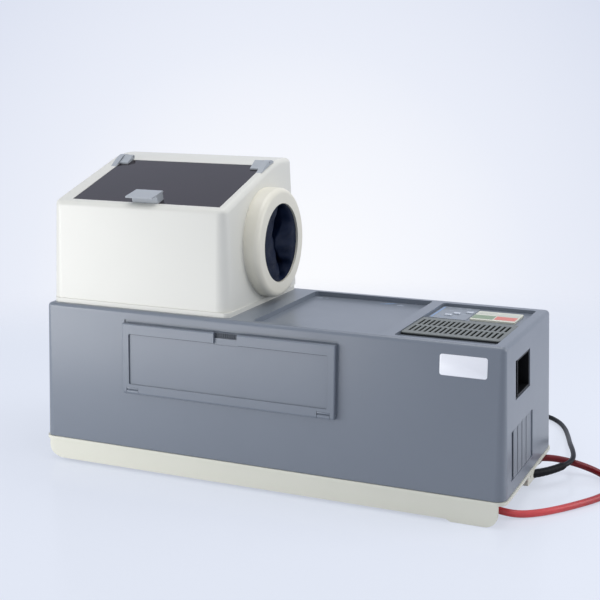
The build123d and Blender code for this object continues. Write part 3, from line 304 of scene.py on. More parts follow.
def mouldedPlastic(name, colour, roughness, grainMm, grainDepth, cloud=0.03, specks=0.0, gloss=0.5):
    material, tree, shader, place = newMaterial(name, {"IOR": moulding["ior"], "Specular IOR Level": gloss})
    base = linearColour(colour)
    clouds = addNode(tree, "ShaderNodeTexNoise", {
        "Scale": moulding["cloudScale"], "Detail": 4.0, "Roughness": 0.6}, {"Vector": place})
    tint = addNode(tree, "ShaderNodeMix", {
        "data_type": "RGBA", 6: scaledColour(base, 1 - cloud), 7: scaledColour(base, 1 + cloud)},
        {0: clouds.outputs["Fac"]})
    surface = tint.outputs[2]
    if specks:
        scuff = addNode(tree, "ShaderNodeTexVoronoi", {"Scale": moulding["speckScale"]}, {"Vector": place})
        spots = addNode(tree, "ShaderNodeMapRange", {
            "From Min": moulding["speckEdge"][0], "From Max": moulding["speckEdge"][1],
            "To Min": specks, "To Max": 0.0}, {"Value": scuff.outputs["Distance"]})
        dusty = addNode(tree, "ShaderNodeMix", {
            "data_type": "RGBA", 7: scaledColour(base, moulding["speckShade"])},
            {0: spots.outputs[0], 6: surface})
        surface = dusty.outputs[2]
    tree.links.new(surface, shader.inputs["Base Color"])
    rubbed = addNode(tree, "ShaderNodeTexNoise", {
        "Scale": moulding["rubbedScale"], "Detail": 6.0, "Roughness": 0.6}, {"Vector": place})
    smoother, duller = moulding["rubbedChange"]
    satin = addNode(tree, "ShaderNodeMapRange", {
        "From Min": 0.35, "From Max": 0.7, "To Min": roughness + smoother, "To Max": roughness + duller},
        {"Value": rubbed.outputs["Fac"]})
    tree.links.new(satin.outputs[0], shader.inputs["Roughness"])
    grain = addNode(tree, "ShaderNodeTexNoise", {"Scale": 1000 / grainMm, "Detail": 2.0}, {"Vector": place})
    bump = addNode(tree, "ShaderNodeBump", {"Strength": 0.5, "Distance": grainDepth / 1000},
                   {"Height": grain.outputs["Fac"]})
    tree.links.new(bump.outputs[0], shader.inputs["Normal"])
    return material


# name, colour, roughness, width and depth of the grain in mm, cloudiness, strength of the specks. The real
# grain is a quarter to a half of a millimetre wide and is drawn coarser, so that it shows
coverPlastic = mouldedPlastic("absSparkErodedGrey", "747B85", 0.29, 1.1, 0.05, 0.04, 0.15)  # satin, grained
loaderPlastic = mouldedPlastic("absSatinIvory", "D9D8D0", 0.38, 1.3, 0.03, 0.012, 0.06)  # even, faint shine
trayPlastic = mouldedPlastic("polystyreneSatinCream", "DBDACC", 0.35, 1.6, 0.03, 0.02, 0.08)  # more yellow
collarPlastic = mouldedPlastic("absSmoothOldIvory", "E3DFD0", 0.34, 1.6, 0.02, 0.02)  # aged ivory, smooth
hingePlastic = mouldedPlastic("acetalSmoothLightGrey", "A2A7AC", 0.33, 1.5, 0.02)  # pale cool grey
rackPlastic = mouldedPlastic("pvcMilledGrey", "B9BCBB", 0.5, 0.9, 0.03)  # dull milled sheet
tankPlastic = mouldedPlastic("polypropyleneMouldedDarkGrey", "4A5055", 0.45, 1.2, 0.03)  # dark and waxy
blackPlastic = mouldedPlastic("nylonMouldedBlack", "0B0C0E", 0.45, 1.0, 0.04, gloss=0.25)  # near black, satin
keyPlastic = mouldedPlastic("absGlossWhite", "CBD1DA", 0.25, 2.0, 0.01)  # small glossy keys
grillePlastic = mouldedPlastic("absSatinOliveGrey", "6C706C", 0.42, 1.1, 0.04, 0.03, 0.2)  # greenish, dusty
ventPlastic = mouldedPlastic("absLouvreGrey", "7A8088", 0.45, 1.1, 0.04, 0.03, 0.2)  # louvres, always shaded
gripShadePlastic = mouldedPlastic("elastomerPaintedNotchShade", "3E434A", 0.6, 0.8, 0.04)  # dark, matt grip, its darkness painted shade of the finger notch
overlayFilm = mouldedPlastic("polyesterFilmGrey", "868D95", 0.3, 0.8, 0.01)  # smooth film over the keys

# Elastomers
footRubber = mouldedPlastic("naturalRubberMouldedBlack", "161617", 0.7, 0.8, 0.05)  # dull black
beltRubber = mouldedPlastic("neopreneGroundBlack", "1B1B1C", 0.65, 0.7, 0.05)  # dull, slightly torn grain
rollerRubber = mouldedPlastic("siliconeRubberGroundGrey", "8C8D92", 0.6, 0.6, 0.03)  # even ground grey
cordRubber = mouldedPlastic("pvcExtrudedBlack", "090B11", 0.42, 2.2, 0.02, gloss=0.2)  # satin, soft highlight
reliefRubber = mouldedPlastic("pvcMouldedBlack", "07080B", 0.5, 1.4, 0.03, gloss=0.14)  # duller than the lead

# Inks and labels
whiteVinyl = mouldedPlastic("vinylFilmWhite", "F7F8FC", 0.28, 1.8, 0.008, 0.004)  # blank, slight shine
blueInk = mouldedPlastic("screenInkBlue", "8CA8CE", 0.4, 0.7, 0.01)  # thin, a little chalky, as all inks
whiteInk = mouldedPlastic("screenInkWhite", "C3CBD8", 0.4, 0.7, 0.01)
greyInk = mouldedPlastic("screenInkGrey", "C4C9BE", 0.4, 0.7, 0.01)
greenInk = mouldedPlastic("screenInkGreen", "84977A", 0.4, 0.7, 0.01)
redInk = mouldedPlastic("screenInkRed", "D5776A", 0.4, 0.7, 0.01)
stepShadowInk = mouldedPlastic("paintedStepShadow", "4C525A", 0.8, 0.8, 0.02, gloss=0.2)  # painted shadow: a dull dark line along a step
plateSheet = mouldedPlastic("polyesterSheetCream", "DAD9C8", 0.25, 1.5, 0.01)  # printed plate, gone yellowish

# Painted shade inside the grille's slots, standing in for the shade on their walls: full and gone at these
# metres below its top face
slotShade = {"colour": "101110", "full": 0.0017, "gone": 0.0009}
grilleTop = max(vertex.co.z for vertex in nodes["vent_grille"].data.vertices)
tree = grillePlastic.node_tree
shader = tree.nodes["Principled BSDF"]
place = addNode(tree, "ShaderNodeTexCoord").outputs["Object"]
depth = addNode(tree, "ShaderNodeSeparateXYZ", {}, {0: place})
outOfShade = addNode(tree, "ShaderNodeMapRange", {
    "From Min": grilleTop - slotShade["full"], "From Max": grilleTop - slotShade["gone"]},
    {"Value": depth.outputs["Z"]})
# painted shade: a dark colour mixed in deep in the slots
shadedSlots = addNode(tree, "ShaderNodeMix", {"data_type": "RGBA", 6: linearColour(slotShade["colour"])},
                {0: outOfShade.outputs[0], 7: shader.inputs["Base Color"].links[0].from_socket})
tree.links.new(shadedSlots.outputs[2], shader.inputs["Base Color"])

# Metals
zinc = {"colour": "C9CACD", "spangleScale": 320.0, "roughness": (0.22, 0.42)}  # cloudy spots about 3 mm wide
steelZinc, tree, shader, place = newMaterial("steelZincPlated", {
    "Base Color": linearColour(zinc["colour"]), "Metallic": 1.0})  # bright, faintly cloudy
spangle = addNode(tree, "ShaderNodeTexVoronoi", {"Scale": zinc["spangleScale"]}, {"Vector": place})
smooth, dull = zinc["roughness"]
shine = addNode(tree, "ShaderNodeMapRange", {"To Min": smooth, "To Max": dull},
                {"Value": spangle.outputs["Distance"]})
tree.links.new(shine.outputs[0], shader.inputs["Roughness"])

rolled = {
    "colour": "D3D5D8",
    "lineScale": (20.0, 900.0, 900.0),  # 5 cm long and a millimetre wide, drawn coarse so that they show
    "roughness": (0.28, 0.5),
}
aluminiumSheet, tree, shader, place = newMaterial("aluminiumSheetMillFinish", {
    "Base Color": linearColour(rolled["colour"]), "Metallic": 1.0})  # long rolling lines
stretch = addNode(tree, "ShaderNodeMapping", {"Scale": rolled["lineScale"]}, {"Vector": place})
lines = addNode(tree, "ShaderNodeTexNoise", {"Scale": 1.0, "Detail": 3.0}, {"Vector": stretch.outputs[0]})
smooth, dull = rolled["roughness"]
shine = addNode(tree, "ShaderNodeMapRange", {"To Min": smooth, "To Max": dull},
                {"Value": lines.outputs["Fac"]})
tree.links.new(shine.outputs[0], shader.inputs["Roughness"])

# Printed circuit board: green solder mask over fibreglass, glossy lacquer with the tracks just seen
board = {"mask": "1E5A34", "track": "246B3E", "gap": "184A2A", "trackScale": 120.0}  # tracks 2 mm apart
boardGreen, tree, shader, place = newMaterial("fibreglassSolderMaskGreen", {"Roughness": 0.3})
tracks = addNode(tree, "ShaderNodeTexBrick", {
    "Scale": board["trackScale"], "Color1": linearColour(board["mask"]),
    "Color2": linearColour(board["track"]), "Mortar": linearColour(board["gap"])}, {"Vector": place})
tree.links.new(tracks.outputs["Color"], shader.inputs["Base Color"])

# Tinted acrylic lid: dark red sheet, polished both sides, hides most of what is below it
pane = {
    "colours": ("150B13", "21121B"),
    "hazeScale": 14.0,  # wiped patches about 7 cm wide
    "roughness": (0.06, 0.18),
    "letsThrough": 0.08,
    "gloss": 0.36,
}
paneAcrylic, tree, shader, place = newMaterial("acrylicCastDarkRed", {
    "IOR": 1.49, "Transmission Weight": pane["letsThrough"], "Specular IOR Level": pane["gloss"]})
haze = addNode(tree, "ShaderNodeTexNoise", {"Scale": pane["hazeScale"], "Detail": 5.0}, {"Vector": place})
smooth, dull = pane["roughness"]
film = addNode(tree, "ShaderNodeMapRange", {"To Min": smooth, "To Max": dull}, {"Value": haze.outputs["Fac"]})
tree.links.new(film.outputs[0], shader.inputs["Roughness"])
dark, pale = (linearColour(colour) for colour in pane["colours"])
tint = addNode(tree, "ShaderNodeMix", {"data_type": "RGBA", 6: dark, 7: pale}, {0: haze.outputs["Fac"]})
tree.links.new(tint.outputs[2], shader.inputs["Base Color"])

# Hose: clear red silicone tube, a little milky, with painted shade that darkens it where it lies toward the
# back
silicone = {
    "front": "DB5355", "back": "7A0C14",
    "fade": (-0.05, 0.06),  # painted shade grows from front to back, in metres
    "milkScale": 60.0,  # clouds about 17 mm wide
    "milk": (0.82, 1.12),
    "glowThrough": 0.25, "glowDepth": 0.004,
}
hoseSilicone, tree, shader, place = newMaterial("siliconeExtrudedRed", {
    "Roughness": 0.32, "IOR": 1.43, "Subsurface Weight": silicone["glowThrough"],
    "Subsurface Scale": silicone["glowDepth"]})
along = addNode(tree, "ShaderNodeSeparateXYZ", {}, {"Vector": place})
fadeFrom, fadeTo = silicone["fade"]
depth = addNode(tree, "ShaderNodeMapRange", {"From Min": fadeFrom, "From Max": fadeTo},
                {"Value": along.outputs["Y"]})
# painted shade: the colour darkens toward the back of the loop
tint = addNode(tree, "ShaderNodeMix", {
    "data_type": "RGBA", 6: linearColour(silicone["front"]), 7: linearColour(silicone["back"])},
    {0: depth.outputs[0]})
cloudy = addNode(tree, "ShaderNodeTexNoise", {"Scale": silicone["milkScale"], "Detail": 3.0},
                 {"Vector": place})
least, most = silicone["milk"]
milk = addNode(tree, "ShaderNodeMapRange", {"To Min": least, "To Max": most},
               {"Value": cloudy.outputs["Fac"]})
shaded = addNode(tree, "ShaderNodeVectorMath", {"operation": "SCALE"},
                 {0: tint.outputs[2], "Scale": milk.outputs[0]})
tree.links.new(shaded.outputs[0], shader.inputs["Base Color"])

# Cloth of the hand sleeves: coated cotton, blue-black and dull, with a weave and small creases
cloth = {
    "colour": "08142A",
    "gloss": 0.08, "sheen": 0.01, "sheenTint": "4F78B5",
    "threadScale": 320.0,  # a thread to the millimetre, three times as coarse as it is so that it shows
    "threadWaver": 0.4,
    "threadShare": 0.12,  # of the relief, the rest is creases
    "creaseScale": 70.0,  # about 14 mm wide
    "relief": 0.0012,
    "roughness": (0.38, 0.62),
}
sleeveCloth, tree, shader, place = newMaterial("cottonRubberCoatedBlack", {
    "Base Color": linearColour(cloth["colour"]), "Specular IOR Level": cloth["gloss"],
    "Sheen Weight": cloth["sheen"], "Sheen Roughness": 0.4, "Sheen Tint": linearColour(cloth["sheenTint"])})
warp, weft = (addNode(tree, "ShaderNodeTexWave", {
    "wave_type": "BANDS", "bands_direction": direction, "Scale": cloth["threadScale"],
    "Distortion": cloth["threadWaver"]}, {"Vector": place}) for direction in ("Y", "Z"))
woven = addNode(tree, "ShaderNodeMath", {"operation": "MULTIPLY"},
                {0: warp.outputs["Fac"], 1: weft.outputs["Fac"]})
crease = addNode(tree, "ShaderNodeTexNoise", {"Scale": cloth["creaseScale"], "Detail": 4.0},
                 {"Vector": place})
height = addNode(tree, "ShaderNodeMath", {"operation": "MULTIPLY_ADD", 1: cloth["threadShare"]},
                 {0: woven.outputs[0], 2: crease.outputs["Fac"]})
bump = addNode(tree, "ShaderNodeBump", {"Strength": 0.6, "Distance": cloth["relief"]},
               {"Height": height.outputs[0]})
tree.links.new(bump.outputs[0], shader.inputs["Normal"])
smooth, dull = cloth["roughness"]
worn = addNode(tree, "ShaderNodeMapRange", {"To Min": smooth, "To Max": dull},
               {"Value": crease.outputs["Fac"]})
tree.links.new(worn.outputs[0], shader.inputs["Roughness"])

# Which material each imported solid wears
dressing = {
    coverPlastic: ["main_cover", "front_flap"],
    grillePlastic: ["vent_grille"],
    overlayFilm: ["control_overlay"],
    plateSheet: ["instruction_plate"],
    loaderPlastic: ["loader_shell", "loader_seat"],
    trayPlastic: ["base_tray", "cord_clamp"],
    collarPlastic: ["collar_left", "collar_right"],
    hingePlastic: ["lid_leaves", "lid_cheeks", "lid_catch"],
    paneAcrylic: ["lid_pane"],
    sleeveCloth: ["sleeve_left", "sleeve_right"],
    rackPlastic: ["rack_plate_front", "rack_plate_back", "motor_pulley"],
    tankPlastic: ["tank_block", "water_pump"],
    blackPlastic: ["film_inlet", "outlet_chute", "fan_housing", "fan_rotor", "hose_spigots"],
    keyPlastic: ["key_start", "key_stop", "key_fill"],
    footRubber: ["rubber_feet"],
    beltRubber: ["drive_belt"],
    rollerRubber: ["entry_roller", "crossover_roller_1", "crossover_roller_2", "squeegee_roller",
                   "exit_roller", "turn_roller_1", "turn_roller_2", "turn_roller_3"],
    reliefRubber: ["strain_relief", "power_plug"],
    cordRubber: ["power_cord", "cord_coil", "plug_lead"],
    hoseSilicone: ["drain_hose"],
    steelZinc: ["flap_pins", "lid_pins", "rack_ties", "motor_body", "heater", "transformer"],
    aluminiumSheet: ["dryer_hood"],
    boardGreen: ["control_board"],
}
for material, names in dressing.items():
    for name in names:
        dress(name, material)
print("materials on", sum(len(names) for names in dressing.values()), "nodes")


# Cords: smooth splines through a few points each
def cordCurve(name, points, radius, material):
    curve = bpy.data.curves.new(name, "CURVE")
    curve.dimensions = "3D"
    curve.bevel_depth = 1.0  # times the radius of the points, in metres
    curve.bevel_resolution = 6
    curve.resolution_u = 12
    curve.use_fill_caps = True
    spline = curve.splines.new("NURBS")
    spline.points.add(len(points) - 1)
    for point, place in zip(spline.points, points):
        point.co = (*spot(*place), 1)
        point.radius = radius / 1000
    spline.order_u = 3
    spline.use_endpoint_u = True
    return addObject(name, curve, [material])


def splinePlaces(piece):
    # the centreline alone, with the thickness taken off for a moment
    curve = piece.data
    depth, curve.bevel_depth = curve.bevel_depth, 0
    bpy.context.view_layer.update()
    line = bpy.data.meshes.new_from_object(piece.evaluated_get(bpy.context.evaluated_depsgraph_get()))
    places = [v.co.copy() for v in line.vertices]
    curve.bevel_depth = depth
    bpy.context.view_layer.update()
    return places, sum((b - a).length for a, b in zip(places, places[1:]))


hose = {
    "radius": 4.5,
    "route": [(266, -80, 15), (284, -80, 15), (306, -81.5, 9), (329, -75, 5.05), (351, -58, 4.55),
              (371, -35, 4.55), (390, -8, 4.55), (406, 18, 4.55), (416, 45, 4.55), (417, 73, 4.55),
              (405, 97, 4.85), (382, 110, 9), (354, 111, 15), (328, 103, 20), (306, 90, 20.3), (284, 84, 20),
              (266, 84, 20)],
}
hosePiece = cordCurve("drainHose", hose["route"], hose["radius"], hoseSilicone)
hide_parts("drain_hose")
places, length = splinePlaces(hosePiece)
print("hose", round(length, 3), "m")

lead = {
    "radius": 3.35,
    "route": [(351, 73, 22), (357.5, 86, 23.5), (357.5, 104, 25.5), (351, 127, 26.5), (343, 152, 24.5),
              (336, 180, 19), (328, 213, 13), (319, 247, 8), (309, 280, 4.8), (295, 310, 3.6),
              (274, 334, 3.4), (246, 342, 3.4), (220, 332, 3.4), (201, 309, 3.4), (191, 280, 3.4),
              (187.5, 253, 3.4)],
    "coilMiddle": (150, 222),
    "coilRows": [(37, 3.4), (30.3, 3.4), (30.3, 10.1), (30.3, 16.8), (37, 16.8), (37, 10.1)],  # radius, up
    "pointsPerTurn": 14,
    "coilAngles": (6, -75),  # where the coil starts and ends
    "stepOver": 0.25,  # last share of a turn, in which it moves to the next row
    "tail": [(139, 180, 3.9), (118, 176, 6), (97, 171.5, 12), (77, 166.3, 17.5), (60, 160, 17.5)],
}


def coilPoints(lead):
    # each turn lies in its own row and steps over to the next one at its end
    middle, rows = lead["coilMiddle"], lead["coilRows"]
    perTurn, stepOver = lead["pointsPerTurn"], lead["stepOver"]
    startAngle, endAngle = lead["coilAngles"]
    total = int(perTurn * (len(rows) - 1 + (startAngle - endAngle) / 360))
    points = []
    for i in range(total + 1):
        turn = i / perTurn
        row = min(int(turn), len(rows) - 1)
        share = max(0.0, (turn - row - (1 - stepOver)) / stepOver)
        nearer = rows[min(row + 1, len(rows) - 1)]
        radius = rows[row][0] * (1 - share) + nearer[0] * share
        height = rows[row][1] * (1 - share) + nearer[1] * share
        angle = math.radians(startAngle - 360 * turn)
        widen = radius / math.cos(math.pi / perTurn)  # the spline runs inside its points
        points.append((middle[0] + widen * math.cos(angle), middle[1] + widen * math.sin(angle), height))
    return points


leadPoints = lead["route"] + coilPoints(lead) + lead["tail"]
leadPiece = cordCurve("mainsLead", leadPoints, lead["radius"], cordRubber)
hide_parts("power_cord", "cord_coil", "plug_lead")
leadPlaces, leadLength = splinePlaces(leadPiece)
print("lead", round(leadLength, 3), "m")

# Strain relief: a tapered rubber boot, bent a little, from the clamp to where the lead comes free
relief = {
    "from": (319, 27, 21), "bend": (338, 47.5, 19.8), "to": (351, 73, 22),
    "thick": 5.6, "thin": 5.0,  # radius at the clamp and at the free end
    "stations": 26, "sides": 32,
    "groove": 0.22,  # every third ring is this much thinner
    "root": 12, "rootStep": 0.8,  # length and thinning of the part hidden in the clamp
    "tip": 1.5, "tipRadius": 3.9,  # the rounding at the free end
}
bm = bmesh.new()
rings = []
start, bend, end = (spot(*relief[key]) for key in ("from", "bend", "to"))
root = (start - bend).normalized() * relief["root"] / 1000
for i in range(-2, relief["stations"] + 1):
    t = i / relief["stations"]
    if i < 0:
        middle, way = start - root * i / 2, bend - start
        radius = relief["thick"] - relief["rootStep"]
    else:
        middle = start * (1 - t) ** 2 + bend * 2 * t * (1 - t) + end * t ** 2
        way = (bend - start) * (1 - t) + (end - bend) * t
        radius = relief["thick"] + (relief["thin"] - relief["thick"]) * t - relief["groove"] * (i % 3 == 1)
    if i == relief["stations"]:
        middle, radius = middle + way.normalized() * relief["tip"] / 1000, relief["tipRadius"]
    axis = way.normalized()
    across = axis.cross(Vector((0, 0, 1))).normalized()
    rings.append(addRing(bm, middle, across, across.cross(axis), radius, relief["sides"]))
skinRings(bm, rings)
reliefPiece = finishMesh("strainRelief", bm, [reliefRubber])
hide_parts("strain_relief")

# Mains plug: round moulded grip with flats for the fingers, and a flat face with two pins
plug = {
    "from": (60, 160, 17.5), "way": (-1, -0.35, 0),
    "grip": [(-2, 4.2), (0, 4.6), (3, 5.2), (6, 5.7), (10, 6.2), (14, 9.5), (17, 11.2), (22, 12.2),
             (30, 13.0), (34, 14.6), (37, 16.2), (39, 16.8), (47, 16.8), (47.6, 16.2), (48, 15.4)],
    "gripSides": 48,
    "flats": (13, 33), "flatDepth": 0.22,  # along, and the share of the height that they take off
    "pinSpacing": 19,
    "pin": [(-3, 2.1), (10, 2.1), (10.3, 2.4), (17.4, 2.4), (18.6, 1.8), (19, 0.9)],  # sleeved, then bare
}
plugWay = Vector(plug["way"]).normalized()
plugStart = spot(*plug["from"])
bm = turnedForm(plug["grip"], plugStart, plugWay, plug["gripSides"])
for vert in bm.verts:
    if plug["flats"][0] < (vert.co - plugStart).dot(plugWay) * 1000 < plug["flats"][1]:
        vert.co.z -= (vert.co.z - plugStart.z) * plug["flatDepth"]
plugPiece = finishMesh("mainsPlug", bm, [reliefRubber])
plugFace = plugStart + plugWay * plug["grip"][-1][0] / 1000
plugSide = plugWay.cross(Vector((0, 0, 1))).normalized()
for number, side in enumerate((-1, 1), 1):
    pinBase = plugFace + plugSide * side * plug["pinSpacing"] / 2000
    pinPiece = finishMesh(f"plugPin{number}", turnedForm(plug["pin"], pinBase, plugWay), [steelZinc])
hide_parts("power_plug")
print("plug and strain relief made")

# Hand sleeves: a cloth tube gathered to a crooked slit, its outer end drawn over the inside of the collar
sleeve = {
    "loaderMiddle": -181.5, "y": 22.6, "z": 298.6,  # middle of the ports
    "reach": 151.6,  # from the loader's middle to the mouth of a port
    "radius": 52.5,  # of the port
    "around": 96,  # points in a ring
    "rolledStages": [-0.08, -0.03],  # the rim, rolled back against the bore
    "faceStages": [0.0, 0.03, 0.08, 0.16, 0.26, 0.36, 0.47, 0.58, 0.69, 0.79, 0.88, 0.95, 1.0],  # rim to slit
    "tubeStages": [1.04, 1.12, 1.26, 1.5, 1.75, 2.0],  # from the slit inwards
    "slitReach": 0.9,  # up and down, as all the slit's figures in radii of the port
    "middleLine": [(-1.0, 0.3), (-0.66, 0.4), (-0.36, 0.18), (-0.12, 0.02), (0.1, 0.04), (0.5, 0.26),
                   (1.0, 0.3)],
    "halfWidth": [(-1.0, 0.03), (-0.86, 0.13), (-0.6, 0.2), (-0.38, 0.08), (-0.18, 0.012), (0.03, 0.05),
                  (0.28, 0.24), (0.52, 0.3), (0.85, 0.14), (1.0, 0.03)],
    "lip": 1.0, "lipDepth": 9.5,  # how deep the rim and the slit lie, in millimetres
    "rollTaper": 0.02, "rollReach": 90,  # widening and depth of the rolled rim, per stage
    "backFold": 4.2,  # full fold at the back, highest at the top
    "frontFold": 2.2,  # smaller fold in front, below
    "pleats": 11, "pleatDepth": 1.5, "pleatWander": 2.5,
    "lumpSize": 2.3, "lumpDepth": 2.4,
    "tubeLength": 44, "tubeNarrowing": 0.85, "tubeFlattening": 0.35,
}


def between(table, value):
    # a smooth curve through a short table
    for (a, low), (b, high) in zip(table, table[1:]):
        if value <= b:
            share = max(0.0, (value - a) / (b - a))
            share = share * share * (3 - 2 * share)
            return low + (high - low) * share
    return table[-1][1]


def gatheredSleeve(name, side, replaced):
    # side is 1 for the right port and -1 for the left one, p runs back, q up and depth into the loader
    bm = bmesh.new()
    radius = sleeve["radius"]
    rings = []
    for stage in sleeve["rolledStages"] + sleeve["faceStages"] + sleeve["tubeStages"]:
        share = min(1.0, max(0.0, stage))
        eased = share ** 0.85
        puff = math.sin(math.pi * share) ** 1.5  # nothing at the rim and the slit
        ring = []
        for i in range(sleeve["around"]):
            angle = 2 * math.pi * i / sleeve["around"]
            cosine, sine = math.cos(angle), math.sin(angle)
            slitUp = sleeve["slitReach"] * sine
            middle = between(sleeve["middleLine"], slitUp)
            width = between(sleeve["halfWidth"], slitUp)
            p = (1 - eased) * cosine + eased * (middle + width * cosine)
            q = (1 - eased) * sine + eased * slitUp
            depth = sleeve["lip"] + sleeve["lipDepth"] * share ** 1.5
            depth -= sleeve["backFold"] * puff * max(0.0, cosine) ** 1.2 * (0.6 + 0.5 * sine)
            depth -= sleeve["frontFold"] * puff * max(0.0, -cosine) * max(0.0, 0.4 - sine)
            pleat = math.sin(sleeve["pleats"] * angle + sleeve["pleatWander"] * math.sin(2 * angle) + side)
            depth += sleeve["pleatDepth"] * puff * pleat * (0.5 + 0.5 * share)
            if stage < 0:
                p *= 1 - stage * sleeve["rollTaper"]
                q *= 1 - stage * sleeve["rollTaper"]
                depth = sleeve["lip"] - stage * sleeve["rollReach"]
            if stage > 1:
                deeper = stage - 1
                p = middle + (p - middle) * (1 - sleeve["tubeNarrowing"] * deeper)
                q = q * (1 - sleeve["tubeFlattening"] * deeper)
                depth += sleeve["tubeLength"] * deeper
            lumps = noise.noise(Vector((p * sleeve["lumpSize"], q * sleeve["lumpSize"], depth / 30 + side)))
            depth += sleeve["lumpDepth"] * lumps * puff
            ring.append(bm.verts.new(spot(sleeve["loaderMiddle"] + side * (sleeve["reach"] - depth),
                                          sleeve["y"] + p * radius, sleeve["z"] + q * radius)))
        rings.append(ring)
    skinRings(bm, rings, closed=False, flipped=side < 0)
    piece = finishMesh(name, bm, [sleeveCloth], sharpAngle=180)
    smoother = piece.modifiers.new("smoother", "SUBSURF")
    smoother.levels = smoother.render_levels = 1
    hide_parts(replaced)
    width = 2 * math.pi * radius / 1000


gatheredSleeve("handSleeveRight", 1, "sleeve_right")
gatheredSleeve("handSleeveLeft", -1, "sleeve_left")

# Flat things on the front wall, which leans back two degrees as the end wall leans in
wallLean = math.radians(2)
frontRight, frontUp = Vector((1, 0, 0)), Vector((0, math.sin(wallLean), math.cos(wallLean)))
frontOut = frontRight.cross(frontUp)
wallFoot = Vector((coverX, -0.1185, 0.033))


def frontPlace(x, up, out=0.0):
    # millimetres along the wall, up it and out from it
    return wallFoot + (frontRight * x + frontUp * up + frontOut * out) / 1000


def frontPlate(name, plate, place, material, body="machine"):
    return finishMesh(name, roundedPlate(plate, frontPlace(*place), frontRight, frontUp), [material], body)


label = {"place": (267, 159.5), "size": (58, 25.5), "corner": 3.0, "thickness": 0.35, "edge": 0.15}
labelPiece = frontPlate("blankLabel", label, label["place"], whiteVinyl)

# Ribbed grip at the back of the flap's finger notch, a dark pad that paints the shade inside the notch
grip = {"place": (-42.5, 166.3, 2.55), "size": (32.4, 6.4), "corner": 0.4, "thickness": 0.5, "edge": 0.15}
rib = {"count": 10, "sunk": 0.1, "size": (1.1, 5.0), "corner": 0.4, "thickness": 0.7, "edge": 0.15}
gripX, gripUp, gripOut = grip["place"]
gripPiece = frontPlate("flapGripShade", grip, grip["place"], gripShadePlastic, "flap")
ribPitch = grip["size"][0] / (rib["count"] + 0.5)
ribOut = gripOut + grip["thickness"] - rib["sunk"]
for i in range(rib["count"]):
    ribX = gripX + (i - (rib["count"] - 1) / 2) * ribPitch
    ribPiece = frontPlate(f"gripShadeRib{i + 1}", rib, (ribX, gripUp, ribOut), gripShadePlastic, "flap")

# Painted shadow along the step round the flap's sunk panel, where its edges lie in shade, clear of the notch
stepShadow = {
    "out": 5.05,
    "lines": [(-122, 155.7, 124, 0.9, 0), (36.3, 155.7, 123, 0.9, 0), (98.1, 122.5, 0.9, 65.5, 0),
              (-184.1, 122.5, 0.7, 65.5, 0)],
}
stepShadowMarks = printedMarks(stepShadow["lines"], frontPlace(0, 0, stepShadow["out"]), frontRight, frontUp)
stepShadowPiece = finishMesh("panelStepShadow", stepShadowMarks, [stepShadowInk], "flap")

# Caps that close the flap above its hinge lugs
cap = {"places": (-179.2, 93.2), "up": 83.4, "out": 4.6, "size": (17.2, 2.3), "corner": 0.3, "thickness": 2.2,
       "edge": 0.2}
for number, x in enumerate(cap["places"], 1):
    capPiece = frontPlate(f"hingeCap{number}", cap, (x, cap["up"], cap["out"]), coverPlastic, "flap")

# Louvres in the vent recess of the right end, each leaning in from the slot beside it
vents = {
    "foot": (323, 0, 33),
    "middle": -36, "up": 47.5,
    "count": 4, "pitch": 21,
    "width": 20.4, "height": 60, "thickness": 0.35,
    "out": (-0.1, -0.55),  # of the front and the rear edge
}
endRight, endUp = Vector((0, 1, 0)), Vector((-math.sin(wallLean), 0, math.cos(wallLean)))
endOut = endRight.cross(endUp)
bm = bmesh.new()
for i in range(vents["count"]):
    middle = vents["middle"] + vents["pitch"] * (i - (vents["count"] - 1) / 2)
    rings = []
    for level in (-vents["thickness"], 0):
        ring = []
        for a, b in ((-1, -1), (1, -1), (1, 1), (-1, 1)):
            out = vents["out"][0 if a < 0 else 1] + level
            place = (endRight * (middle + a * vents["width"] / 2)
                     + endUp * (vents["up"] + b * vents["height"] / 2) + endOut * out)
            ring.append(bm.verts.new(spot(*vents["foot"]) + place / 1000))
        rings.append(ring)
    skinRings(bm, rings)
ventPiece = finishMesh("ventLouvres", bm, [ventPlastic])

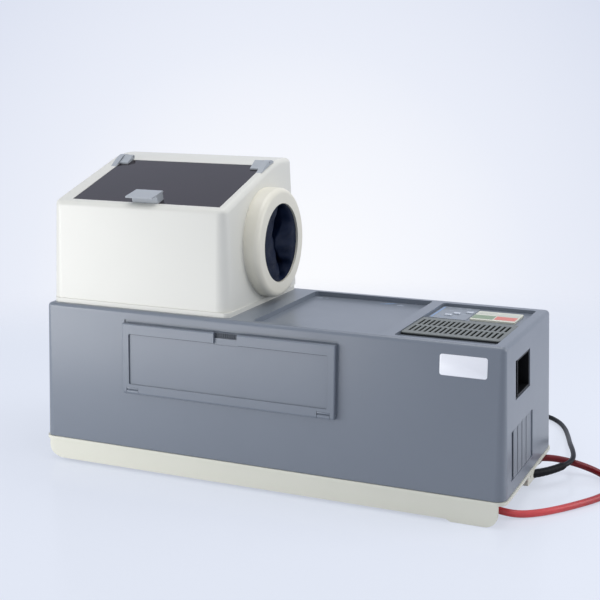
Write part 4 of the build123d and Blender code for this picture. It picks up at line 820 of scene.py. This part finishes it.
# Printed marks on the top, all generic: bars, arrows and blocks without a word
printing = {
    "wellMarks": {
        "place": (0, 0, 212.5), "inks": [blueInk, whiteInk],
        "marks": [(96, 88, 15, 1.6, 0, 38, 3), (101, 90, 13, 1.4, 0, 38, 3), (106, 92, 10, 1.4, 0, 38, 3),
                  (119, 84, 9, 2.2, 1, 0, 1), (119, 89, 6, 1.2, 1, 0, 1), (-2, 91, 8, 1.6, 1, 0, 1),
                  (9, 90, 5, 1.4, 1, 0, 1), (-2, 86.5, 12, 1.0, 1, 0, 1)],
    },
    "overlayMarks": {
        "place": (203, 59.5, 215.1), "inks": [blueInk, whiteInk],
        "marks": [(-22.4, 0, 2.6, 62, 0), (-14, 29, 6, 1.0, 1), (-14, 26, 4, 0.8, 1), (-2, 29, 5, 1.0, 1),
                  (-2, 26, 7, 0.8, 1), (11, 29, 7, 1.0, 1), (11, 26, 5, 0.8, 1), (-15, -20, 5, 1.0, 0),
                  (-6, -20, 4, 1.0, 1), (5, -15, 5, 1.0, 1), (15, -6, 5, 1.0, 1), (-10, -28, 9, 0.8, 0),
                  (7, -28, 9, 0.8, 0), (19, 12, 3, 3, 0, 45, 0), (19, 20, 3, 1.0, 1), (-8, 12, 5, 0.9, 1),
                  (2, 19, 5, 0.9, 1)],
    },
    "plateMarks": {
        "place": (261.5, 51, 217.5), "inks": [greenInk, redInk, greyInk],
        "marks": [(-14.5, -9.5, 28, 21, 0), (14.5, -9.5, 27, 19, 1), (14, 8, 28, 11, 2),
                  (-14.5, 8, 27, 2.4, 2), (-14.5, 12.5, 27, 2.0, 2), (-14.5, 17, 22, 2.0, 2),
                  (14, 17.5, 28, 2.0, 2)],
    },
}
for name, sheet in printing.items():
    marks = printedMarks(sheet["marks"], spot(*sheet["place"]), Vector((1, 0, 0)), Vector((0, 1, 0)))
    printedPiece = finishMesh(name, marks, sheet["inks"])

# Screw sunk in the cord clamp
clampScrew = {
    "place": (323, 7, 24),
    "profile": [(-3.9, 1.1), (-3.8, 1.9), (-2.6, 2.0), (-2.1, 1.6), (-2.0, 0.7), (-2.6, 0.6)],
}
screwForm = turnedForm(clampScrew["profile"], spot(*clampScrew["place"]), Vector((1, 0, 0)))
screwPiece = finishMesh("clampScrew", screwForm, [steelZinc])
print("labels, marks and small pieces made")
